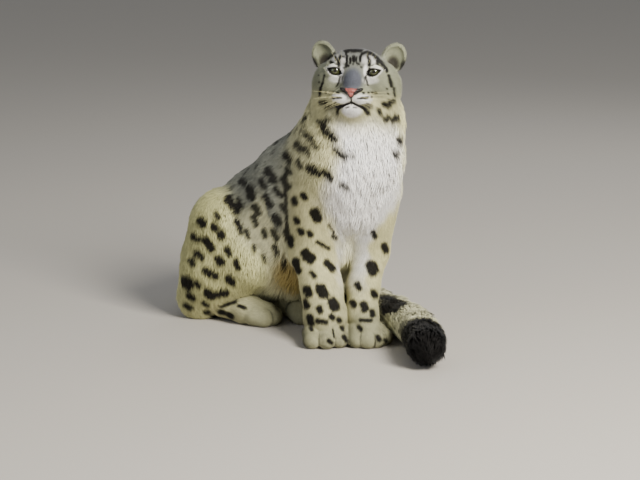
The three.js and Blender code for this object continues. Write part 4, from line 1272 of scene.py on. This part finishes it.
class LEOPARD_OT_coat(bpy.types.Operator):
    """Cover the skin with tufts of hair that follow the lie of the coat"""

    bl_idname = "leopard.coat"
    bl_label = "Coat"

    def execute(self, context):
        deselect()
        rng = np.random.default_rng(SEED + 1)
        skin = made["skin"]
        lengths, lies, weights = coat_at(skin.middles)
        widths = by_kind(weights, "width")
        density = by_kind(weights, "cover") / (widths * lengths) * skin.areas
        # No hair grows between the animal and the floor
        density[(skin.middles[:, 2] < 4) & (skin.normals[:, 2] < -0.6)] = 0
        density *= self.open_face(skin.middles)
        count = int(min(context.scene.leopard_coat.tufts, density.sum()))
        # Roots are spread evenly over the density, each at a random place on its face
        total = np.cumsum(density)
        picks = (np.arange(count) + rng.random(count)) / count * total[-1]
        face = np.minimum(np.searchsorted(total, picks), len(total) - 1)
        a, b = rng.random((2, count))
        over = a + b > 1
        a[over], b[over] = 1 - a[over], 1 - b[over]
        bary = np.stack([1 - a - b, a, b], axis=1)
        roots = np.einsum("nk,nkd->nd", bary, skin.points[skin.faces[face]])
        uv = np.einsum("nk,nkd->nd", bary, skin.uv[face])
        out = skin.normals[face]
        long = lengths[face] * rng.uniform(0.78, 1.18, count)
        wide = widths[face] * rng.uniform(0.8, 1.25, count)
        # The lie is laid along the skin, and sways in waves and clumps
        lie = lies[face]
        lie = lie - (lie * out).sum(axis=1)[:, None] * out
        lie = unit(lie + 0.001 * np.cross(out, (0.3, 0.5, 0.8)))
        across = np.cross(out, lie)
        fluff = by_kind(weights[face], "fluff")
        sway = rng.normal(0, 0.12, count) + 0.2 * ragged(roots, 31) + fluff * ragged(roots, 8)
        lie = unit(lie + across * sway[:, None])
        across = np.cross(out, lie)
        tip = roots + lie * (0.75 * long)[:, None]
        clear = (self.open_face(tip) * self.open_face(roots + lie * (0.5 * long)[:, None])) > 0
        coats = COATS[weights[face].argmax(axis=1)]
        spread = coat_at(tip)[2]
        # The colour is that of the place where the tuft shows: half along it, and near its tip
        vary = rng.uniform(0.84, 1.16, count)[:, None]
        tint = coat_colour(roots + lie * (0.5 * long)[:, None], weights[face], made["markings"]) * vary
        end_tint = coat_colour(roots + lie * (0.92 * long)[:, None], spread, made["markings"]) * vary
        high = DEPTH_SHARE * long * rng.uniform(0.5, 1.0, count) * (1 + fluff * ragged(roots, 9))
        # Dull with a faint sheen, so that the coat looks dry and soft
        fur = painted("Snow leopard fur, tufts", 0.7, sheen=0.08, specular=0.15)
        hairs = dict(
            root=roots, uv=uv, out=out, lie=lie, across=across, long=long, wide=wide, high=high, tint=tint,
            end_tint=end_tint,
        )
        for name, kinds, slot in PIECES:
            chosen = np.flatnonzero(np.isin(coats, kinds) & clear)
            if not len(chosen):
                continue
            each = BENT_TRIANGLES if lengths[face[chosen]].mean() > LONG_HAIR else SHORT_TRIANGLES
            parts = max(1, math.ceil(len(chosen) * each / MOST_TRIANGLES))
            order = chosen[np.argsort(roots[chosen, 0], kind="stable")]
            for k, some in enumerate(np.array_split(order, parts)):
                piece_name = name if parts == 1 else f"{name}_{k + 1}"
                chosen_hairs = {key: values[some] for key, values in hairs.items()}
                piece = self.tufts(piece_name, chosen_hairs, each == BENT_TRIANGLES, fur)
                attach(piece, "root")
        return {"FINISHED"}

    def open_face(self, p):
        """0 where the eyes and the nose leather leave the skin bare, 1 elsewhere."""
        q = in_head(p)
        bare = np.ones(len(p))
        for s in SIDES:
            bare[(eye_opening(q, s) < 0.9) & (q[:, 1] < 14)] = 0
        nose = np.linalg.norm((q - (0, -52, -50)) / (24, 16, 12), axis=1) < 1
        bare[nose] = 0
        return bare

    def tufts(self, name, hairs, bent, material):
        """One piece of tufts, each a closed point that is bent or straight."""
        root, uv, out, lie, across, long, wide, high, tint, end_tint = hairs.values()
        n = len(root)
        root = root - out * ROOT_DEPTH
        half = (wide / 2)[:, None]
        thick = (wide * THICKNESS)[:, None]
        tip = root + lie * (long * 0.96)[:, None] + out * (high + ROOT_DEPTH)[:, None]
        # For each point: painted shade from root to tip, darker at the root where the tufts shade each other
        # and lighter at the tip as if lit, nearness to the tip's colour, and place on the patch
        if bent:
            middle = root + lie * (long * 0.5)[:, None] + out * (high * 0.85 + ROOT_DEPTH)[:, None]
            rings = []
            for place, share in ((root, 0.75), (middle, 1.0)):
                side = across * half * share
                rings += [place - side, place + side, place + out * thick * share * 2]
            points = np.stack([*rings, tip], axis=1)
            pattern = [(0, 2, 1)]
            for j in range(3):
                k = (j + 1) % 3
                pattern += [(j, k, 3 + k), (j, 3 + k, 3 + j), (3 + j, 3 + k, 6)]
            # Painted shade at the root and painted light at the tip
            shade = (0.56, 0.56, 0.6, 0.94, 0.94, 1.0, 1.16)
            at_end = (0, 0, 0, 0.5, 0.5, 0.5, 1)
            spread = ((-1, -1), (1, -1), (0, -1), (-1, 0), (1, 0), (0, 0), (0, 1))
            sides = (-1, 1, 0, -1, 1, 0, 0)
        else:
            side = across * half
            points = np.stack([root - side, root + side, root + out * thick * 2 + lie * half, tip], axis=1)
            pattern = [(0, 2, 1), (0, 1, 3), (1, 2, 3), (2, 0, 3)]
            # Painted shade at the root and painted light at the tip
            shade = (0.72, 0.72, 0.82, 1.1)
            at_end = (0, 0, 0, 1)
            spread = ((-1, -1), (1, -1), (0, 0), (0, 1))
            sides = (-1, 1, 0, 0)
        per = points.shape[1]
        faces = (np.array(pattern)[None] + (np.arange(n) * per)[:, None, None]).reshape(-1, 3)
        ends = np.array(at_end)[None, :, None]
        shades = tint[:, None, :] * (1 - ends) + end_tint[:, None, :] * ends
        shades = (shades * np.array(shade)[None, :, None]).reshape(-1, 3)
        points = points.reshape(-1, 3)
        points[:, 2] = np.maximum(points[:, 2], TUFT_OFF_FLOOR)
        piece = mesh_piece(name, points, faces, np.clip(shades, 0, 1), material)
        turned = [across * side * SIDE_SHADE + out for side in sides]
        normals = unit(np.stack(turned, axis=1).reshape(-1, 3))
        piece.data.normals_split_custom_set_from_vertices(normals.astype(np.float32))
        patch = (uv[:, None, :] + np.array(spread)[None] * PATCH).reshape(-1, 2)
        layer = piece.data.uv_layers.new(name="OFBake")
        layer.data.foreach_set("uv", patch[faces.ravel()].astype(np.float32).ravel())
        return piece


EYE_AROUND, EYE_RINGS = 48, 39  # points of the glass


class LEOPARD_OT_eyes(bpy.types.Operator):
    """Set the glass eyes, with a dark rim of lid round each opening"""

    bl_idname = "leopard.eyes"
    bl_label = "Eyes"

    def execute(self, context):
        deselect()
        colours = context.scene.leopard_colours
        # A clear hard gloss gives the eyes their glint and depth
        glass = painted("Glass eye", 0.08, coat=1.0)
        # Black with a soft shine, so that the edges of the lids look moist and frame the glass
        rim = painted("Bare lid skin", 0.5, specular=0.4, bump=0.2)
        # Fine bumps make the lids look grown over with short hair
        short = painted("Short hair of the lid", 0.8, bump=0.8, grain=0.0006)
        for s, centre in zip(SIDES, eye_centres):
            turns = np.linspace(0, 2 * np.pi, EYE_AROUND, endpoint=False)
            leans = np.linspace(0, np.pi, EYE_RINGS + 2)[1:-1]
            lean, turn = np.meshgrid(leans, turns, indexing="ij")
            # The cornea swells out in front
            radius = EYEBALL - 1.4 + 1.2 * (1 - step(lean, 0.2, 0.85))
            aside, up = np.sin(lean) * np.cos(turn), np.sin(lean) * np.sin(turn)
            look = np.stack([aside, -np.cos(lean), up], axis=-1)
            points = (look * radius[..., None]).reshape(-1, 3)
            points = np.r_[points, [(0, -EYEBALL + 0.2, 0), (0, EYEBALL - 1.4, 0)]]
            gaze = np.array(Euler((math.radians(4), 0, math.radians(5)), "XYZ").to_matrix())
            points = points @ gaze.T + centre
            faces = ring_faces(EYE_RINGS, EYE_AROUND)[:, ::-1]
            # Paler round the pupil, with streaks, then the pupil and a dark edge: the iris's own dark rim,
            # with painted shade where the lids overhang the ends of the opening
            across = np.r_[lean.ravel(), 0, math.pi]
            tint = mixed(np.array(colours.iris_middle), colours.iris, step(across, 0.36, 0.7))
            streak = 1 + 0.16 * np.sin(np.r_[turn.ravel(), 0, 0] * 23) * step(across, 0.3, 0.5)
            tint = np.clip(tint * streak[:, None], 0, 1)
            tint = mixed(tint, colours.dark, 1 - step(across, 0.19, 0.22))
            # Dark edge of the glass: the iris's rim and painted shade under the lids
            tint = mixed(tint, colours.dark, step(across, 0.72, 0.8))
            piece = head_piece(f"eye_{SIDE_NAMES[s]}_glass", points, faces, tint, glass)
            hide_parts(f"eye_{SIDE_NAMES[s]}")
            self.lid_rim(s, centre, colours, rim, short)
        return {"FINISHED"}

    def lid_rim(self, s, centre, colours, rim, short):
        """The dark edge of the lids, thicker above, and the lids that it ends."""
        # How far the opening reaches from the middle of the eye, at each turn
        turns = np.linspace(0, 2 * np.pi, 97)
        reach = np.linspace(0, 24, 241)
        x, z = np.cos(turns)[:, None] * reach, np.sin(turns)[:, None] * reach
        q = np.stack([x + s * EYE_SPACING / 2, 0 * x, z], axis=2).reshape(-1, 3)
        inside = (eye_opening(q, s) < 0.5).reshape(x.shape)
        edge = reach[inside.sum(axis=1) - 1]
        x, z = np.cos(turns) * edge, np.sin(turns) * edge
        y = -np.sqrt(np.maximum((EYEBALL + 2.4) ** 2 - x**2 - z**2, 4))
        path = np.stack([x, y, z], axis=1) + centre
        above = z * math.cos(EYE_TILT) - s * x * math.sin(EYE_TILT)
        points, faces = tube(path, 0.55 + 0.7 * step(above, -1, 4), 8)
        self.lid(s, centre, turns[:-1], edge[:-1], colours, short)
        head_piece(f"lid_rim_{SIDE_NAMES[s]}", points, faces, colours.dark[:], rim)

    def lid(self, s, centre, turns, edge, colours, short):
        """The lid round the glass, from its dark edge to under the hair."""
        out = np.linspace(0, 10, 9)[:, None]
        x, z = np.cos(turns) * (edge + out), np.sin(turns) * (edge + out)
        y = -np.sqrt(np.maximum((EYEBALL + 1.3) ** 2 - x**2 - z**2, 1))
        points = np.stack([x, y, z], axis=2).reshape(-1, 3) + centre
        count = len(turns)
        j = np.arange(count)
        k = (j + 1) % count
        rows = np.arange(len(out) - 1)[:, None] * count
        a, b, d, e = rows + j, rows + count + j, rows + count + k, rows + k
        faces = np.concatenate([np.stack(ring, axis=2).reshape(-1, 3) for ring in ((a, b, d), (a, d, e))])
        share = np.repeat(step(out[:, 0], 1.5, 3.5), count)
        hair = (np.array(colours.smoke) + np.array(colours.white)) / 2
        tint = mixed(np.array(colours.dark), hair, share)
        head_piece(f"lid_{SIDE_NAMES[s]}", points, faces, tint, short)


def nostril(s):
    """Middle line of a nostril and of the slit that leads out of it."""
    return np.array(((s * 7, -62, -51.5), (s * 13, -59, -49.5), (s * 21, -50, -47)))


class LEOPARD_OT_nose(bpy.types.Operator):
    """Model the nose leather, with its nostrils"""

    bl_idname = "leopard.nose"
    bl_label = "Nose"

    def execute(self, context):
        deselect()
        colours = context.scene.leopard_colours
        ball = ball_shape(4)
        eggs = [  # centre, radii and turn in degrees
            ((0, -49, -46), (13, 11, 6.5), 0),
            *(((s * 9, -48, -48), (11, 10, 6.6), s * -32) for s in SIDES),
            *(((s * 18, -45, -44.4), (9.5, 10, 4.2), s * -28) for s in SIDES),
            ((0, -51, -54), (6.5, 7, 8.5), 0),
        ]
        shapes = []
        for centre, radii, turn in eggs:
            matrix = np.array(Matrix.Rotation(math.radians(turn), 3, "Y"))
            shapes.append((ball[0] * radii @ matrix.T + centre, ball[1]))
        points, faces = join_shapes(shapes)
        leather = mesh_piece("nose_leather", from_head(points), faces)
        remesh(leather, LEATHER_VOXEL)
        relax(leather, 6)
        q = in_head(points_of(leather.data))
        for s in SIDES:
            depth = 4.6 * (1 - step(to_line(q, nostril(s)), 0.6, 3.2))
            q[:, 1] += depth * (q[:, 1] < -34)
        # The groove down the middle
        q[:, 1] += 1.5 * (1 - step(np.abs(q[:, 0]), 0.3, 1.6)) * (q[:, 2] < -46)
        set_points(leather.data, from_head(q))
        leather.data.shade_smooth()
        side = np.abs(q[:, 0]) - 0.55 * (q[:, 2] + 46)
        tint = mixed(np.array(colours.pink), colours.dark, step(side + ragged(q, 3), 8, 12))
        # Dark in and round the nostrils: the leather's own dark rims, with painted shade in their hollows
        for s in SIDES:
            tint = mixed(tint, colours.dark, 1 - step(to_line(q, nostril(s) + (0, 2, 0)), 2.2, 4))
        tint = mixed(tint, colours.dark, 1 - step(q[:, 2], -61, -57))
        paint(leather.data, tint)
        # Pebbled and half glossy, so that the nose looks damp
        leather.data.materials.append(painted("Nose leather", 0.42, bump=0.5, grain=0.0009))
        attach(leather, "root")
        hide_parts("nose")
        return {"FINISHED"}


def face_point(x, z):
    """Where a line from the front meets the skin, in the head's frame."""
    skin = made["skin"]
    start = from_head(np.array((x, -200, z)))
    way = HEAD_TURNED @ np.array((0, 1, 0))
    found = skin.tree.ray_cast(Vector(start), Vector(way))[0]
    return in_head(np.array([found]))[0] if found is not None else np.array((x, -30, z))


WHISKER_ROWS, WHISKERS_IN_ROW, BROW_WHISKERS = 4, 5, 3  # on each side


class LEOPARD_OT_mouth(bpy.types.Operator):
    """Draw the dark lips, and plant the whiskers"""

    bl_idname = "leopard.mouth"
    bl_label = "Mouth and whiskers"

    def execute(self, context):
        deselect()
        colours = context.scene.leopard_colours
        shapes = []
        for s in SIDES:
            path = np.array([face_point(s * x, z) for x, z in along_line(MOUTH, 14)])
            share = np.linspace(0, 1, len(path))
            shapes.append(tube(path + (0, 0.6, 0), 1.6 + 2.3 * step(share, 0.55, 0.9), 7))
        cleft = np.array([face_point(0, z) for z in np.linspace(-62, -77, 6)])
        shapes.append(tube(cleft + (0, 0.6, 0), 1.5, 6))
        points, faces = join_shapes(shapes)
        # Smooth and half glossy, so that the line of the mouth looks moist
        head_piece("lips", points, faces, colours.dark[:], painted("Bare lip skin", 0.4, bump=0.3))
        rng = np.random.default_rng(SEED + 2)
        hairs = []
        for s in SIDES:
            for row in range(WHISKER_ROWS):
                for k in range(WHISKERS_IN_ROW):
                    x = s * (14 + 6.2 * k + rng.uniform(-1, 1))
                    z = -56 - 5.2 * row + rng.uniform(-0.8, 0.8)
                    root = face_point(x, z)
                    long = rng.uniform(42, 78) * (1 - 0.1 * row)
                    way = np.array((s * 1.0, -0.25 + 0.16 * k, 0.26 - 0.22 * row + rng.uniform(-0.12, 0.12)))
                    way /= np.linalg.norm(way)
                    t = np.linspace(0, 1, 7)[:, None]
                    droop = np.array((0, 0.1, -0.24 - 0.1 * rng.random()))
                    path = root + (0, 2, 0) + way * t * long + droop * t**2 * long * 0.5
                    hairs.append(tube(path, 0.27 * (1 - 0.8 * t[:, 0]), 4))
            for k in range(BROW_WHISKERS):
                root = face_point(s * (26 + 6 * k), 16)
                path = root + np.linspace(0, 1, 6)[:, None] * np.array((s * (4 + 5 * k), -6, 26)) * 1.1
                hairs.append(tube(path, np.linspace(0.24, 0.05, 6), 4))
        points, faces = join_shapes(hairs)
        # Pale with some shine, so that each whisker catches the light
        head_piece("whiskers", points, faces, colours.cream[:], painted("Whisker hair", 0.4))
        return {"FINISHED"}


FLOOR_WIDTH = 80  # metres, so that its far edge is out of sight


class LEOPARD_OT_stage(bpy.types.Operator):
    """Set the floor, the lights and the camera"""

    bl_idname = "leopard.stage"
    bl_label = "Stage"

    def execute(self, context):
        deselect()
        stage = context.scene.leopard_stage
        bpy.ops.mesh.primitive_plane_add(size=FLOOR_WIDTH, location=(0, 0, 0))
        floor = context.object
        floor.name = "floor"
        # Dull and pale, so that the soft shadow of the animal shows on it
        material = bpy.data.materials.new("Matt studio floor")
        material.use_nodes = True
        shader = material.node_tree.nodes["Principled BSDF"]
        shader.inputs["Base Color"].default_value = (*stage.floor, 1)
        shader.inputs["Roughness"].default_value = 0.9
        floor.data.materials.append(material)
        world = bpy.data.worlds.new("Studio")
        world.use_nodes = True
        sky = world.node_tree.nodes["Background"].inputs
        sky["Color"].default_value = (*linear("#e3e6ea"), 1)
        sky["Strength"].default_value = 0.36
        context.scene.world = world
        lights = (
            ("Key light", (1.9, -2.8, 2.5), 1.5, stage.key, "#fffaf0"),
            ("Fill light", (-2.6, -1.8, 1.6), 2.2, stage.fill, "#eef3ff"),
            ("Rim light", (1.2, 2.6, 2.4), 1.6, stage.fill, "#ffffff"),
        )
        for name, place, wide, power, code in lights:
            bpy.ops.object.light_add(type="AREA", location=place)
            light = context.object
            light.name = name
            light.data.size = wide
            light.data.energy = power
            light.data.color = linear(code)
            light.rotation_euler = (Vector((0, 0, 0.3)) - Vector(place)).to_track_quat("-Z", "Y").to_euler()
        eye, ahead, _ = camera_axes()
        bpy.ops.object.camera_add(location=to_frame(eye))
        camera = context.object
        camera.rotation_euler = Vector(ahead).to_track_quat("-Z", "Y").to_euler()
        camera.data.sensor_width = SENSOR
        camera.data.lens = SENSOR * stage.distance / stage.view_width
        camera.data.clip_end = 60
        context.scene.camera = camera
        return {"FINISHED"}


class LEOPARD_PT_panel(bpy.types.Panel):
    """Sizes, colours and pieces of the leopard"""

    bl_idname = "LEOPARD_PT_panel"
    bl_label = "Snow leopard"
    bl_space_type = "VIEW_3D"
    bl_region_type = "UI"
    bl_category = "Leopard"

    def draw(self, context):
        for group in ("leopard_coat", "leopard_colours", "leopard_stage"):
            settings = getattr(context.scene, group)
            box = self.layout.box()
            for name in settings.bl_rna.properties.keys():
                if name not in ("rna_type", "name"):
                    box.prop(settings, name)
        for operator in OPERATORS:
            self.layout.operator(operator.bl_idname)


SETTINGS = (
    ("leopard_coat", CoatSettings),
    ("leopard_colours", ColourSettings),
    ("leopard_stage", StageSettings),
)
OPERATORS = (
    LEOPARD_OT_skin, LEOPARD_OT_coat, LEOPARD_OT_eyes, LEOPARD_OT_nose, LEOPARD_OT_mouth, LEOPARD_OT_stage
)


def register():
    for name, group in SETTINGS:
        bpy.utils.register_class(group)
        setattr(bpy.types.Scene, name, PointerProperty(type=group))
    for thing in (*OPERATORS, LEOPARD_PT_panel):
        bpy.utils.register_class(thing)


def unregister():
    for thing in (LEOPARD_PT_panel, *reversed(OPERATORS)):
        bpy.utils.unregister_class(thing)
    for name, group in reversed(SETTINGS):
        delattr(bpy.types.Scene, name)
        bpy.utils.unregister_class(group)


def main():
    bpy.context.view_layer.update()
    register()
    set_offset()
    bpy.ops.leopard.skin()
    bpy.ops.leopard.coat()
    bpy.ops.leopard.eyes()
    bpy.ops.leopard.nose()
    bpy.ops.leopard.mouth()
    bpy.ops.leopard.stage()


if __name__ == "__main__":
    main()
